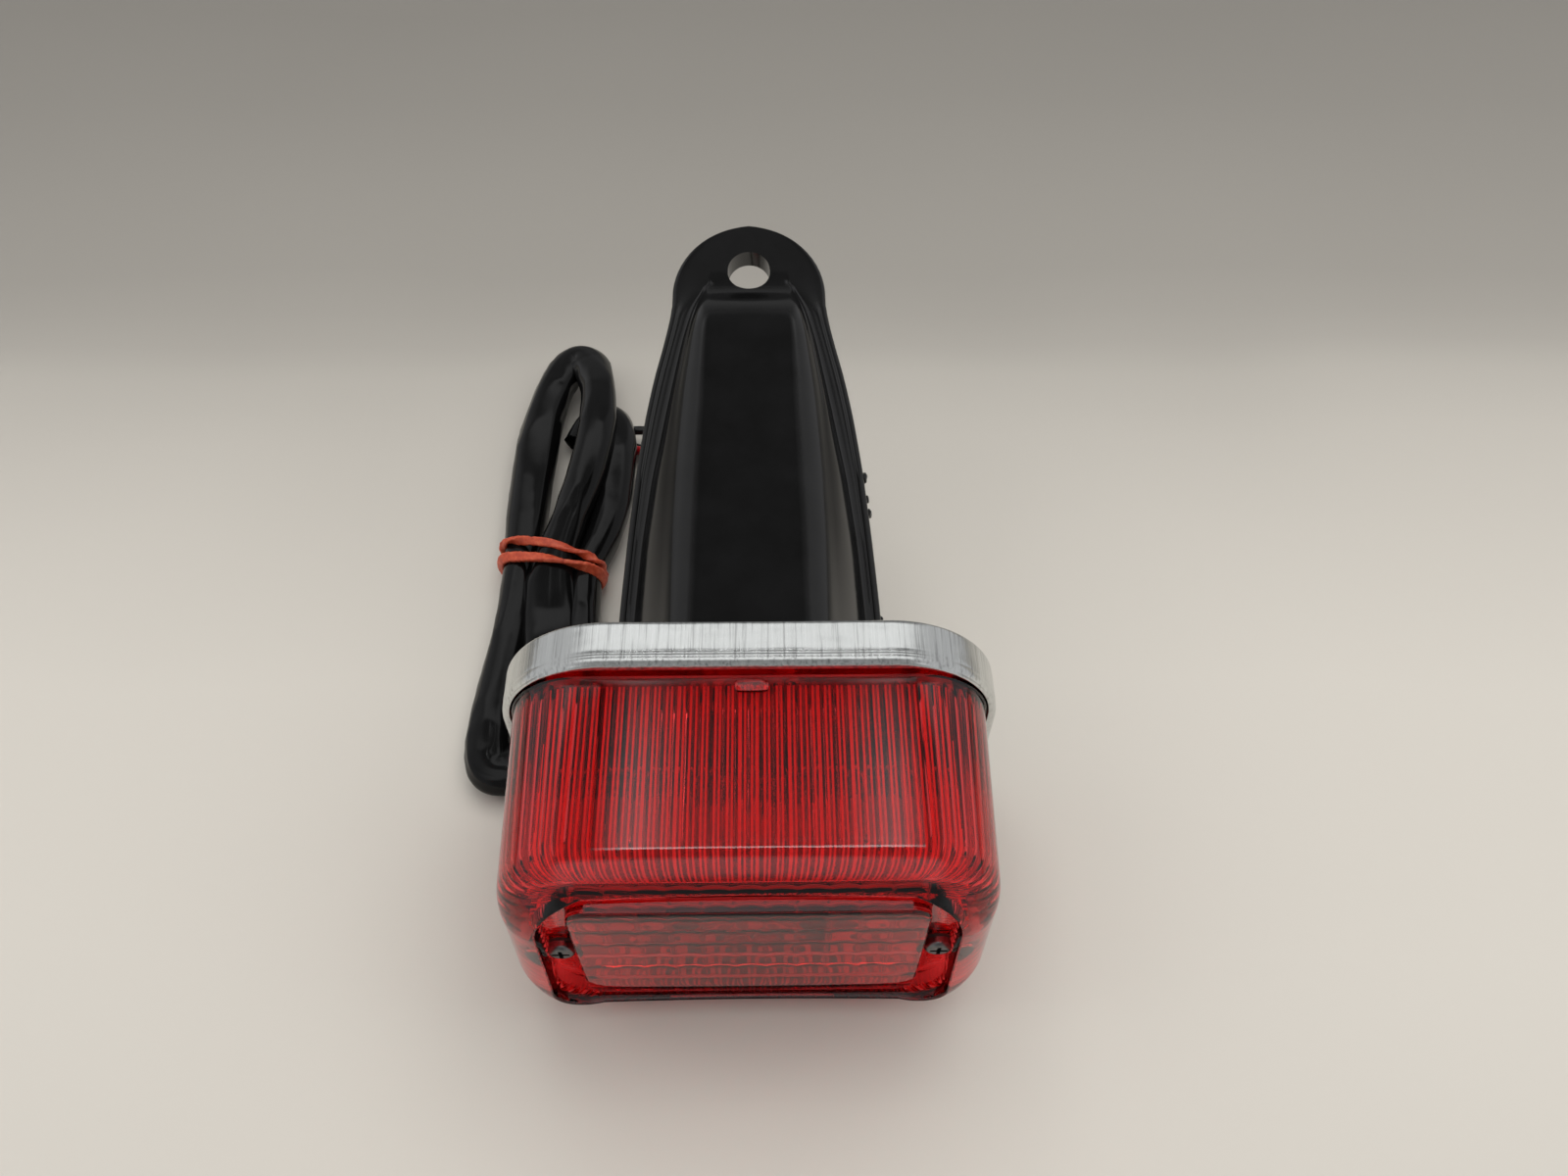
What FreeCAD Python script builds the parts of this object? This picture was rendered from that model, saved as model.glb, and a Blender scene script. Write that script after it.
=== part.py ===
import FreeCAD, Part
import os
import math
import Sketcher
from FreeCAD import Vector, Placement, Rotation

# Motorcycle tail light with a moulded mounting bracket and its wiring.
# Millimetres.  The modelling frame has the mouth of the base pan at y = 0, the lens towards -Y,
# the bracket towards +Y and Z up; every sub-part is then moved by frame_shift along Y, which puts
# the origin under the middle of the lamp on the surface it stands on.

doc = FreeCAD.newDocument("tail_light")
sheet = doc.addObject("Spreadsheet::Sheet", "Sheet")

CELLS = [
    # name, value
    ("frame_shift", -29.79),
    ("centre_z", 27.15),
    # base pan
    ("pan_width", 90.0), ("pan_height", 54.3), ("pan_corner", 20.6), ("pan_depth", 9.2),
    ("pan_wall", 0.8), ("pan_lip", 1.9), ("pan_lip_depth", 1.3), ("pan_roll", 1.55), ("pan_back_round", 0.9),
    ("pan_socket_bore", 18.4), ("pan_mouth_corner", 16.0),
    # lens
    ("lens_width", 85.2), ("lens_height", 47.4), ("lens_corner", 13.8), ("lens_draft", 1.45),
    ("lens_depth", 43.5), ("lens_seat", 5.4), ("lens_round", 11.2), ("lens_wall", 2.4),
    ("recess_width", 68.6), ("recess_height", 39.8), ("recess_corner", 7.5), ("recess_floor", 38.0),
    ("panel_width", 58.2), ("panel_height", 37.0), ("panel_corner", 4.0), ("panel_front", 40.7),
    ("pillar_radius", 3.1), ("pillar_bore", 1.7), ("screw_x", 31.7), ("screw_z", 27.15),
    # number plate window
    ("window_length", 34.0), ("window_depth", 24.0), ("window_wall", 1.8), ("window_front", 12.0),
    ("window_top", 6.4),
    # gasket
    ("gasket_width", 86.4), ("gasket_height", 50.6), ("gasket_corner", 17.5), ("gasket_band", 4.2),
    ("gasket_thick", 2.9),
    # lens screws
    ("screw_shank", 1.5), ("screw_head", 2.4), ("screw_head_height", 1.7), ("screw_tip", 13.4),
    ("washer_radius", 2.5), ("washer_thick", 0.5), ("lens_nut_flats", 5.5), ("nut_flats", 7.0), ("nut_height", 2.6),
    # bulb and holder
    ("bulb_z", 28.0), ("bulb_radius", 12.4), ("bulb_neck", 7.1), ("bulb_tip", 33.4),
    ("cap_radius", 7.5), ("cap_front", 1.5), ("cap_back", 17.6), ("pin_radius", 1.0),
    ("pin_reach", 8.6), ("pin_y", 8.6),
    ("holder_radius", 8.9), ("holder_bore", 7.62), ("holder_mouth", 3.2), ("holder_back", 31.0),
    ("holder_flange", 12.0), ("holder_end_wall", 0.8), ("grommet_bore", 3.1),
    ("disc_radius", 7.3), ("disc_front", 19.9), ("disc_thick", 2.0), ("push_travel", 2.2),
    ("spring_radius", 5.2), ("spring_wire", 0.55), ("spring_turns", 3.0),
    # bracket
    ("bracket_angle", 21.0), ("bracket_z", 31.0), ("flange_thick", 5.4), ("tab_radius", 15.8),
    ("tab_centre", 82.5), ("tab_pad_radius", 10.0), ("tab_pad_thick", 0.4), ("hole_along", 87.8), ("hole_radius", 4.4),
    ("hood_base_half", 23.2), ("hood_top_half", 13.8), ("hood_rise", 18.0),
    ("hood_end_base_half", 11.6), ("hood_end_top_half", 8.2), ("hood_end_rise", 6.2), ("hood_end", 74.0),
    ("hood_wall", 2.5), ("foot_thick", 3.0), ("foot_half", 24.0), ("foot_bottom", 12.5), ("foot_top", 49.3),
    ("foot_bore", 9.6), ("fixing_x", 16.6), ("fixing_z", 20.0), ("fixing_shank", 2.0),
    # wiring
    ("lead_radius", 1.1), ("sleeve_radius", 4.0), ("hank_bottom", 1.6), ("hank_top", 10.4),
    ("band_wide", 1.9), ("band_thick", 1.2),
]
V = {}
for i, (name, value) in enumerate(CELLS):
    cell = "A%d" % (i + 1)
    sheet.set(cell, str(value))
    sheet.setAlias(cell, name)
    V[name] = float(value)
doc.recompute()

PARTS = []


def S(name):
    return "Sheet." + name


def keep(obj, label):
    """Registers a finished sub-part under its own name."""
    obj.Label = label
    PARTS.append((obj, label))
    return obj


def to_frame(obj):
    pl = obj.Placement
    obj.Placement = Placement(Vector(0, V["frame_shift"], 0), Rotation()).multiply(pl)


# ---------------------------------------------------------------- sketch helpers
def origin_plane(body, role):
    for o in body.Origin.OriginFeatures:
        if o.Role == role:
            return o


def new_body(label):
    b = doc.addObject("PartDesign::Body", label + "_body")
    keep(b, label)
    return b


def sketch(body, name, role, offset=(0, 0, 0), rot=None):
    s = body.newObject("Sketcher::SketchObject", name)
    s.AttachmentSupport = (origin_plane(body, role), [""])
    s.MapMode = "FlatFace"
    s.AttachmentOffset = Placement(Vector(*offset), rot or Rotation())
    return s


def rounded_rect(s, w, h, r, ew=None, eh=None, er=None):
    """Rounded rectangle about the sketch origin, sizes bound to expressions."""
    a, b = w / 2 - r, h / 2 - r
    n = Vector(0, 0, 1)
    g = [
        Part.LineSegment(Vector(-a, -h / 2, 0), Vector(a, -h / 2, 0)),
        Part.LineSegment(Vector(w / 2, -b, 0), Vector(w / 2, b, 0)),
        Part.LineSegment(Vector(a, h / 2, 0), Vector(-a, h / 2, 0)),
        Part.LineSegment(Vector(-w / 2, b, 0), Vector(-w / 2, -b, 0)),
        Part.ArcOfCircle(Part.Circle(Vector(a, -b, 0), n, r), -math.pi / 2, 0),
        Part.ArcOfCircle(Part.Circle(Vector(a, b, 0), n, r), 0, math.pi / 2),
        Part.ArcOfCircle(Part.Circle(Vector(-a, b, 0), n, r), math.pi / 2, math.pi),
        Part.ArcOfCircle(Part.Circle(Vector(-a, -b, 0), n, r), math.pi, 3 * math.pi / 2),
    ]
    k = s.GeometryCount
    s.addGeometry(g, False)
    C = Sketcher.Constraint
    for line, arc_in, arc_out in ((0, 7, 4), (1, 4, 5), (2, 5, 6), (3, 6, 7)):
        s.addConstraint(C("Tangent", k + arc_in, 2, k + line, 1))
        s.addConstraint(C("Tangent", k + line, 2, k + arc_out, 1))
    for line in (0, 2):
        s.addConstraint(C("Horizontal", k + line))
    for line in (1, 3):
        s.addConstraint(C("Vertical", k + line))
    for arc in (5, 6, 7):
        s.addConstraint(C("Equal", k + 4, k + arc))
    s.addConstraint(C("Symmetric", k, 1, k + 2, 1, -1, 1))
    i = s.addConstraint(C("Radius", k + 4, r))
    if er:
        s.setExpression("Constraints[%d]" % i, er)
    i = s.addConstraint(C("DistanceX", k + 3, 1, k + 1, 1, w))
    if ew:
        s.setExpression("Constraints[%d]" % i, ew)
    i = s.addConstraint(C("DistanceY", k, 1, k + 2, 1, h))
    if eh:
        s.setExpression("Constraints[%d]" % i, eh)
    return s


def circle(s, x, y, r, er=None):
    i = s.addGeometry(Part.Circle(Vector(x, y, 0), Vector(0, 0, 1), r), False)
    c = s.addConstraint(Sketcher.Constraint("Radius", i, r))
    if er:
        s.setExpression("Constraints[%d]" % c, er)
    return s


def polyline(s, pts):
    n = len(pts)
    for i in range(n):
        a, b = pts[i], pts[(i + 1) % n]
        s.addGeometry(Part.LineSegment(Vector(a[0], a[1], 0), Vector(b[0], b[1], 0)), False)
    k = s.GeometryCount - n
    for i in range(n):
        s.addConstraint(Sketcher.Constraint("Coincident", k + i, 2, k + (i + 1) % n, 1))
    return s


def trapezoid(s, base_half, top_half, low, high, eb=None, et=None, eh=None):
    """Symmetric trapezoid: base at y = low (negative), top at y = high."""
    pts = [(-base_half, low), (base_half, low), (top_half, high), (-top_half, high)]
    k = s.GeometryCount
    polyline(s, pts)
    C = Sketcher.Constraint
    s.addConstraint(C("Symmetric", k, 1, k, 2, -2))
    s.addConstraint(C("Symmetric", k + 2, 1, k + 2, 2, -2))
    s.addConstraint(C("DistanceY", k, 1, -1, 1, -low))
    i = s.addConstraint(C("DistanceX", k, 1, k, 2, 2 * base_half))
    if eb:
        s.setExpression("Constraints[%d]" % i, eb)
    i = s.addConstraint(C("DistanceX", k + 2, 2, k + 2, 1, 2 * top_half))
    if et:
        s.setExpression("Constraints[%d]" % i, et)
    i = s.addConstraint(C("DistanceY", -1, 1, k + 2, 1, high))
    if eh:
        s.setExpression("Constraints[%d]" % i, eh)
    return s


def pad(body, s, length, expr=None, reverse=False):
    f = body.newObject("PartDesign::Pad", "Pad")
    f.Profile = s
    f.Length = length
    if expr:
        f.setExpression("Length", expr)
    f.Reversed = reverse
    doc.recompute()
    return f


def pocket(body, s, length, expr=None, reverse=False, through=False):
    before = body.Shape.Volume
    f = body.newObject("PartDesign::Pocket", "Pocket")
    f.Profile = s
    if through:
        f.Type = 1
    else:
        f.Length = length
        if expr:
            f.setExpression("Length", expr)
    f.Reversed = reverse
    doc.recompute()
    if not body.Shape.Volume < before - 1e-6:
        raise RuntimeError("pocket in %s cuts nothing" % body.Label)
    return f


def edges_where(shape, test):
    out = []
    for i, e in enumerate(shape.Edges):
        if test(e):
            out.append("Edge%d" % (i + 1))
    return out


def mid(e):
    return e.valueAt((e.FirstParameter + e.LastParameter) / 2.0)


def fillet(body, feature, names, radius, expr=None):
    f = body.newObject("PartDesign::Fillet", "Fillet")
    f.Base = (feature, names)
    f.Radius = radius
    if expr:
        f.setExpression("Radius", expr)
    doc.recompute()
    if "Invalid" in f.State or "Error" in f.State or f.Shape.isNull():
        raise RuntimeError("fillet failed in " + body.Label)
    return f


# ---------------------------------------------------------------- primitive helpers (axis along Y)
ALONG_Y = Rotation(Vector(1, 0, 0), -90)


def cyl(name, r, h, x, y, z, er=None, eh=None, rot=None):
    c = doc.addObject("Part::Cylinder", name)
    c.Radius = r
    c.Height = h
    if er:
        c.setExpression("Radius", er)
    if eh:
        c.setExpression("Height", eh)
    c.Placement = Placement(Vector(x, y, z), rot or ALONG_Y)
    return c


def block(name, x0, x1, y0, y1, z0, z1):
    b = doc.addObject("Part::Box", name)
    b.Length, b.Width, b.Height = x1 - x0, y1 - y0, z1 - z0
    b.Placement = Placement(Vector(x0, y0, z0), Rotation())
    return b


def cut(name, a, b):
    c = doc.addObject("Part::Cut", name)
    c.Base, c.Tool = a, b
    return c


def fuse(name, shapes):
    c = doc.addObject("Part::MultiFuse", name)
    c.Shapes = shapes
    return c


def group(name, shapes):
    c = doc.addObject("Part::Compound", name)
    c.Links = shapes
    return c


# ================================================================ base pan
pan = new_body("base_pan")
sk = sketch(pan, "pan_outline", "XZ_Plane", (0, V["centre_z"], 0))
sk.setExpression("AttachmentOffset.Base.y", S("centre_z"))
rounded_rect(sk, V["pan_width"], V["pan_height"], V["pan_corner"], S("pan_width"), S("pan_height"), S("pan_corner"))
f = pad(pan, sk, V["pan_depth"], S("pan_depth"), reverse=True)
front = edges_where(f.Shape, lambda e: abs(mid(e).y) < 1e-6)
f = fillet(pan, f, front, V["pan_roll"], S("pan_roll"))
back = edges_where(f.Shape, lambda e: abs(mid(e).y - V["pan_depth"]) < 1e-6)
f = fillet(pan, f, back, V["pan_back_round"], S("pan_back_round"))
# mouth, then the wider well behind the rolled lip
sk = sketch(pan, "pan_mouth", "XZ_Plane", (0, V["centre_z"], 0))
rounded_rect(sk, V["pan_width"] - 2 * V["pan_lip"], V["pan_height"] - 2 * V["pan_lip"], V["pan_mouth_corner"],
             S("pan_width") + " - 2 * " + S("pan_lip"), S("pan_height") + " - 2 * " + S("pan_lip"), S("pan_mouth_corner"))
pocket(pan, sk, V["pan_depth"] - V["pan_wall"], S("pan_depth") + " - " + S("pan_wall"), reverse=False)
sk = sketch(pan, "pan_well", "XZ_Plane", (0, V["centre_z"], -V["pan_lip_depth"]))
rounded_rect(sk, V["pan_width"] - 2 * V["pan_wall"], V["pan_height"] - 2 * V["pan_wall"], V["pan_corner"] - V["pan_wall"],
             S("pan_width") + " - 2 * " + S("pan_wall"), S("pan_height") + " - 2 * " + S("pan_wall"), S("pan_corner") + " - " + S("pan_wall"))
pocket(pan, sk, V["pan_depth"] - V["pan_wall"] - V["pan_lip_depth"], S("pan_depth") + " - " + S("pan_wall") + " - " + S("pan_lip_depth"), reverse=False)
sk = sketch(pan, "pan_holes", "XZ_Plane", (0, 0, 0))
circle(sk, 0, V["bulb_z"], V["pan_socket_bore"] / 2, S("pan_socket_bore") + " / 2")
for sx in (-1, 1):
    circle(sk, sx * V["screw_x"], V["screw_z"], V["screw_shank"] + 0.3, S("screw_shank") + " + 0.3")
    circle(sk, sx * V["fixing_x"], V["fixing_z"], V["fixing_shank"] + 0.25, S("fixing_shank") + " + 0.25")
pocket(pan, sk, V["pan_depth"] + 2, None, reverse=False)

# ================================================================ lens
lens = new_body("lens")
sk = sketch(lens, "lens_front", "XZ_Plane", (0, V["centre_z"], -V["lens_seat"]))
sk.setExpression("AttachmentOffset.Base.z", "-" + S("lens_seat"))
LW, LH, LC = V["lens_width"], V["lens_height"], V["lens_corner"]
rounded_rect(sk, LW, LH, LC, S("lens_width"), S("lens_height"), S("lens_corner"))
f = lens.newObject("PartDesign::Pad", "lens_pad")
f.Profile = sk
f.Length = V["lens_seat"] + V["lens_depth"] + 1.2
f.setExpression("Length", S("lens_seat") + " + " + S("lens_depth") + " + 1.2")
f.TaperAngle = -V["lens_draft"]
f.setExpression("TaperAngle", "-" + S("lens_draft"))
doc.recompute()
if f.Shape.BoundBox.YMin > 0:
    raise RuntimeError("lens grew the wrong way")
# rear face leans forward by three degrees: the top is nearer the pan
sk = sketch(lens, "lens_lean", "YZ_Plane", (0, 0, 0))
D0 = V["lens_depth"]
lean = math.tan(math.radians(3.0))
zc = V["centre_z"]
polyline(sk, [(-(D0 + lean * (zc + 3)), -3), (-(D0 - lean * (60 - zc)), 60), (-70, 60), (-70, -3)])
pk = lens.newObject("PartDesign::Pocket", "lens_lean_cut")
pk.Profile = sk
pk.Midplane = True
pk.Length = 120
doc.recompute()
rear = edges_where(pk.Shape, lambda e: mid(e).y < -(D0 - 3.0))
f = fillet(lens, pk, rear, V["lens_round"], S("lens_round"))
# hollow
sk = sketch(lens, "lens_hollow", "XZ_Plane", (0, V["centre_z"], -V["lens_seat"]))
w = V["lens_wall"]
rounded_rect(sk, LW - 2 * w, LH - 2 * w, LC - w, S("lens_width") + " - 2 * " + S("lens_wall"), S("lens_height") + " - 2 * " + S("lens_wall"), S("lens_corner") + " - " + S("lens_wall"))
before = lens.Shape.Volume
pk = lens.newObject("PartDesign::Pocket", "lens_hollow_cut")
pk.Profile = sk
pk.Length = V["lens_seat"] + 35.4
pk.setExpression("Length", S("lens_seat") + " + 35.4")
pk.TaperAngle = -2.6
pk.Reversed = True
doc.recompute()
if not lens.Shape.Volume < before - 1000:
    pk.Reversed = False
    doc.recompute()
inner = edges_where(pk.Shape, lambda e: abs(mid(e).y + 35.4) < 0.05 and abs(mid(e).x) < 42)
f = fillet(lens, pk, inner, 8.2)
# recess in the rear face, leaving the raised panel
sk = sketch(lens, "lens_recess", "XZ_Plane", (0, V["centre_z"], 60))
rounded_rect(sk, V["recess_width"], V["recess_height"], V["recess_corner"], S("recess_width"), S("recess_height"), S("recess_corner"))
rounded_rect(sk, V["panel_width"], V["panel_height"], V["panel_corner"], S("panel_width"), S("panel_height"), S("panel_corner"))
pocket(lens, sk, 60 - V["recess_floor"], "60 - " + S("recess_floor"), reverse=False)
sk = sketch(lens, "lens_panel_trim", "XZ_Plane", (0, V["centre_z"], 60))
rounded_rect(sk, V["panel_width"] + 0.2, V["panel_height"] + 0.2, V["panel_corner"], None, None, None)
pocket(lens, sk, 60 - V["panel_front"], "60 - " + S("panel_front"), reverse=False)
# screw pillars
for sx in (-1, 1):
    sk = sketch(lens, "pillar%d" % (sx + 1), "XZ_Plane", (0, 0, -V["pan_depth"] + V["pan_wall"] + 0.4))
    circle(sk, sx * V["screw_x"], V["screw_z"], V["pillar_radius"], S("pillar_radius"))
    pad(lens, sk, V["recess_floor"] - 1.0 + V["pan_depth"] - V["pan_wall"] - 0.4, None, reverse=False)
sk = sketch(lens, "lens_holes", "XZ_Plane", (0, 0, 60))
for sx in (-1, 1):
    circle(sk, sx * V["screw_x"], V["screw_z"], V["pillar_bore"], S("pillar_bore"))
pocket(lens, sk, 80)
# window aperture in the underside
sk = sketch(lens, "window_aperture", "XY_Plane", (0, 0, 0))
yc = -(V["window_front"] + V["window_depth"] / 2)
hw, hd = V["window_length"] / 2 + 0.05, V["window_depth"] / 2 + 0.05
polyline(sk, [(-hw, yc - hd), (hw, yc - hd), (hw, yc + hd), (-hw, yc + hd)])
before = lens.Shape.Volume
pk = lens.newObject("PartDesign::Pocket", "window_cut")
pk.Profile = sk
pk.Length = 9
pk.Reversed = True
doc.recompute()
if not lens.Shape.Volume < before - 100:
    raise RuntimeError("window aperture cuts nothing")

# ================================================================ number plate window
win = new_body("plate_window")
sk = sketch(win, "window_outline", "XY_Plane", (0, -(V["window_front"] + V["window_depth"] / 2), 0))
rounded_rect(sk, V["window_length"], V["window_depth"], 0.6, S("window_length"), S("window_depth"), None)
f = pad(win, sk, V["window_top"], S("window_top"))
sk = sketch(win, "window_inside", "XY_Plane", (0, -(V["window_front"] + V["window_depth"] / 2), V["window_top"]))
rounded_rect(sk, V["window_length"] - 2 * V["window_wall"], V["window_depth"] - 2 * V["window_wall"], 0.5)
pocket(win, sk, V["window_top"] - V["window_wall"], S("window_top") + " - " + S("window_wall"))

# ================================================================ lens gasket
gas = new_body("lens_gasket")
sk = sketch(gas, "gasket_ring", "XZ_Plane", (0, V["centre_z"], -(V["pan_depth"] - V["pan_wall"])))
rounded_rect(sk, V["gasket_width"], V["gasket_height"], V["gasket_corner"], S("gasket_width"), S("gasket_height"), S("gasket_corner"))
rounded_rect(sk, V["gasket_width"] - 2 * V["gasket_band"], V["gasket_height"] - 2 * V["gasket_band"], V["gasket_corner"] - V["gasket_band"])
pad(gas, sk, V["gasket_thick"], S("gasket_thick"))

# ================================================================ lens screws, washers, nuts
head_y = -V["recess_floor"] - V["washer_thick"]
screws, washers, nuts = [], [], []
for tag, sx in (("l", -1), ("r", 1)):
    x, z = sx * V["screw_x"], V["screw_z"]
    shank = cyl("shank_" + tag, V["screw_shank"], V["screw_tip"] - head_y, x, head_y, z, S("screw_shank"))
    head = cyl("head_" + tag, V["screw_head"], V["screw_head_height"], x, head_y - V["screw_head_height"], z, S("screw_head"), S("screw_head_height"))
    dome = doc.addObject("Part::Fillet", "dome_" + tag)
    doc.recompute()
    dome.Base = head
    dome.Edges = [(i + 1, 0.9, 0.9) for i, e in enumerate(head.Shape.Edges) if e.Closed and abs(e.CenterOfMass.y - (head_y - V["screw_head_height"])) < 1e-6]
    slot1 = block("slot_a" + tag, x - 1.5, x + 1.5, head_y - 4, head_y - 0.8, z - 0.35, z + 0.35)
    slot2 = block("slot_b" + tag, x - 0.35, x + 0.35, head_y - 4, head_y - 0.8, z - 1.5, z + 1.5)
    cross = fuse("cross_" + tag, [slot1, slot2])
    headc = cut("head_cut_" + tag, dome, cross)
    screws.append(fuse("screw_" + tag, [shank, headc]))
    wo = cyl("washer_o" + tag, V["washer_radius"], V["washer_thick"], x, head_y, z, S("washer_radius"), S("washer_thick"))
    wi = cyl("washer_i" + tag, V["screw_shank"] + 0.05, V["washer_thick"] + 2, x, head_y - 1, z, S("screw_shank") + " + 0.05")
    washers.append(cut("washer_" + tag, wo, wi))
    hexa = doc.addObject("Part::Prism", "nut_o" + tag)
    hexa.Polygon = 6
    hexa.Circumradius = V["lens_nut_flats"] / math.sqrt(3)
    hexa.setExpression("Circumradius", S("lens_nut_flats") + " / sqrt(3)")
    hexa.Height = V["nut_height"]
    hexa.setExpression("Height", S("nut_height"))
    hexa.Placement = Placement(Vector(x, V["pan_depth"], z), ALONG_Y)
    bore = cyl("nut_i" + tag, V["screw_shank"] + 0.05, 8, x, V["pan_depth"] - 1, z, S("screw_shank") + " + 0.05")
    nuts.append(cut("nut_" + tag, hexa, bore))
keep(group("lens_screw_group", screws), "lens_screws")
keep(group("lens_washer_group", washers), "lens_screw_washers")
keep(group("lens_nut_group", nuts), "lens_screw_nuts")

# ================================================================ bulb
bz = V["bulb_z"]
bulb = new_body("bulb_glass")
sk = sketch(bulb, "bulb_profile", "YZ_Plane", (0, 0, 0))
ryc = -(V["bulb_tip"] - V["bulb_radius"])
R, n0 = V["bulb_radius"], V["bulb_neck"]
ang = math.asin(n0 / R)
neck_y = ryc + R * math.cos(ang)
k = Vector(0, 0, 1)
t = 0.7
ri = R - t
ni = n0 - t
angi = math.asin(ni / ri)
nyi = ryc + ri * math.cos(angi)
# half section, closed on the bulb axis; an envelope of glass open into the cap
sk.addGeometry([
    Part.ArcOfCircle(Part.Circle(Vector(ryc, bz, 0), k, R), ang, math.pi),
    Part.LineSegment(Vector(ryc - R, bz, 0), Vector(ryc - ri, bz, 0)),
    Part.ArcOfCircle(Part.Circle(Vector(ryc, bz, 0), k, ri), angi, math.pi),
    Part.LineSegment(Vector(nyi, bz + ni, 0), Vector(V["cap_front"] + 3, bz + ni, 0)),
    Part.LineSegment(Vector(V["cap_front"] + 3, bz + ni, 0), Vector(V["cap_front"] + 3, bz + n0, 0)),
    Part.LineSegment(Vector(V["cap_front"] + 3, bz + n0, 0), Vector(neck_y, bz + n0, 0)),
], False)
ax = sk.addGeometry(Part.LineSegment(Vector(-60, bz, 0), Vector(40, bz, 0)), True)
rev = bulb.newObject("PartDesign::Revolution", "bulb_revolution")
rev.Profile = sk
rev.ReferenceAxis = (sk, ["Axis0"])
rev.Angle = 360
doc.recompute()

cap_o = cyl("cap_outer", V["cap_radius"], V["cap_back"] - V["cap_front"], 0, V["cap_front"], bz, S("cap_radius"), S("cap_back") + " - " + S("cap_front"))
cap_i = cyl("cap_inner", V["bulb_neck"] + 0.02, V["cap_back"] - V["cap_front"] - 1.2, 0, V["cap_front"] - 0.2, bz)
keep(cut("cap_shell", cap_o, cap_i), "bulb_cap")
pins = []
for tag, sx in (("l", -1), ("r", 1)):
    c = doc.addObject("Part::Cylinder", "pin_" + tag)
    c.Radius = V["pin_radius"]
    c.setExpression("Radius", S("pin_radius"))
    c.Height = V["pin_reach"] - V["cap_radius"]
    c.setExpression("Height", S("pin_reach") + " - " + S("cap_radius"))
    c.Placement = Placement(Vector(V["cap_radius"] if sx > 0 else -V["pin_reach"], V["pin_y"], bz), Rotation(Vector(0, 1, 0), 90))
    pins.append(c)
keep(group("pin_group", pins), "bulb_pins")
tips = [cyl("pip_%d" % i, 1.9, 1.1, 0, V["cap_back"], bz + s * 3.4) for i, s in enumerate((-1, 1))]
keep(group("pip_group", tips), "bulb_contacts")
# stem and two filaments with their supports
stem = doc.addObject("Part::Cone", "stem_cone")
stem.Radius1, stem.Radius2, stem.Height = 4.6, 2.0, 12.0
stem.Placement = Placement(Vector(0, 4.4, bz), Rotation(Vector(1, 0, 0), 90))
wires = []
for i, (x, dz, ln) in enumerate(((-3.2, 2.2, 14.5), (3.2, 2.2, 14.5), (-2.4, -3.0, 12.0), (2.4, -3.0, 12.0))):
    wires.append(cyl("support_%d" % i, 0.3, ln, x * 0.5, -6.8 - ln, bz + dz * 0.45))
fil = []
for i, (dz, y) in enumerate(((1.0, -21.3), (-1.35, -18.8))):
    c = doc.addObject("Part::Cylinder", "filament_%d" % i)
    c.Radius, c.Height = 0.45, 4.4
    c.Placement = Placement(Vector(-2.2, y, bz + dz), Rotation(Vector(0, 1, 0), 90))
    fil.append(c)
keep(fuse("mount_fuse", [stem] + wires + fil), "bulb_filaments")

# ================================================================ bulb holder
hr, hb = V["holder_radius"], V["holder_bore"]
tube = cyl("holder_tube", hr, V["holder_back"] - V["holder_mouth"], 0, V["holder_mouth"], bz, S("holder_radius"), S("holder_back") + " - " + S("holder_mouth"))
flange_y = V["pan_depth"] - V["pan_wall"] - 0.9
fl = cyl("holder_flange", V["holder_flange"], 0.9, 0, flange_y, bz, S("holder_flange"))
outer = fuse("holder_outer", [tube, fl])
bore = cyl("holder_bore", hb, V["holder_back"] - V["holder_end_wall"] - V["holder_mouth"] + 1, 0, V["holder_mouth"] - 1, bz, S("holder_bore"))
hole = cyl("holder_hole", V["grommet_bore"], 6, 0, V["holder_back"] - 4, bz, S("grommet_bore"))
tools = [bore, hole]
py = V["pin_y"]
for sx in (-1, 1):
    tag = "l" if sx < 0 else "r"
    x0, x1 = (hb - 0.6, hr + 0.6) if sx > 0 else (-hr - 0.6, -hb + 0.6)
    tools.append(block("pocket_" + tag, x0, x1, py - 1.25, py + V["push_travel"] + 1.2, bz - 1.25, bz + 1.25))
    for j, a in enumerate((14, 28, 42)):
        b = block("turn_%s%d" % (tag, j), hb - 0.8, hr + 1.2, py + 1.1, py + V["push_travel"] + 1.2, -1.3, 1.3)
        ang = a if sx > 0 else a + 180
        b.Placement = Placement(Vector(0, 0, bz), Rotation(Vector(0, 1, 0), -ang)).multiply(b.Placement)
        tools.append(b)
    b = block("entry_" + tag, hb - 0.8, hr + 1.2, V["holder_mouth"] - 1, py + V["push_travel"] + 1.2, -1.25, 1.25)
    ang = 42 if sx > 0 else 222
    b.Placement = Placement(Vector(0, 0, bz), Rotation(Vector(0, 1, 0), -ang)).multiply(b.Placement)
    tools.append(b)
shell = outer
for j, t in enumerate(tools):
    shell = cut("holder_cut%d" % j, shell, t)
keep(shell, "bulb_holder")

disc = cyl("disc_solid", V["disc_radius"], V["disc_thick"], 0, V["disc_front"], bz, S("disc_radius"), S("disc_thick"))
keep(cut("disc_bored", disc, cyl("disc_bore", 1.0, 6, 0, V["disc_front"] - 2, bz)), "contact_disc")
pip_end = V["cap_back"] + 1.1
buttons = [cyl("button_%d" % i, 1.7, V["disc_front"] - pip_end, 0, pip_end, bz + s * 3.4) for i, s in enumerate((-1, 1))]
keep(group("button_group", buttons), "contact_buttons")

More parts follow.
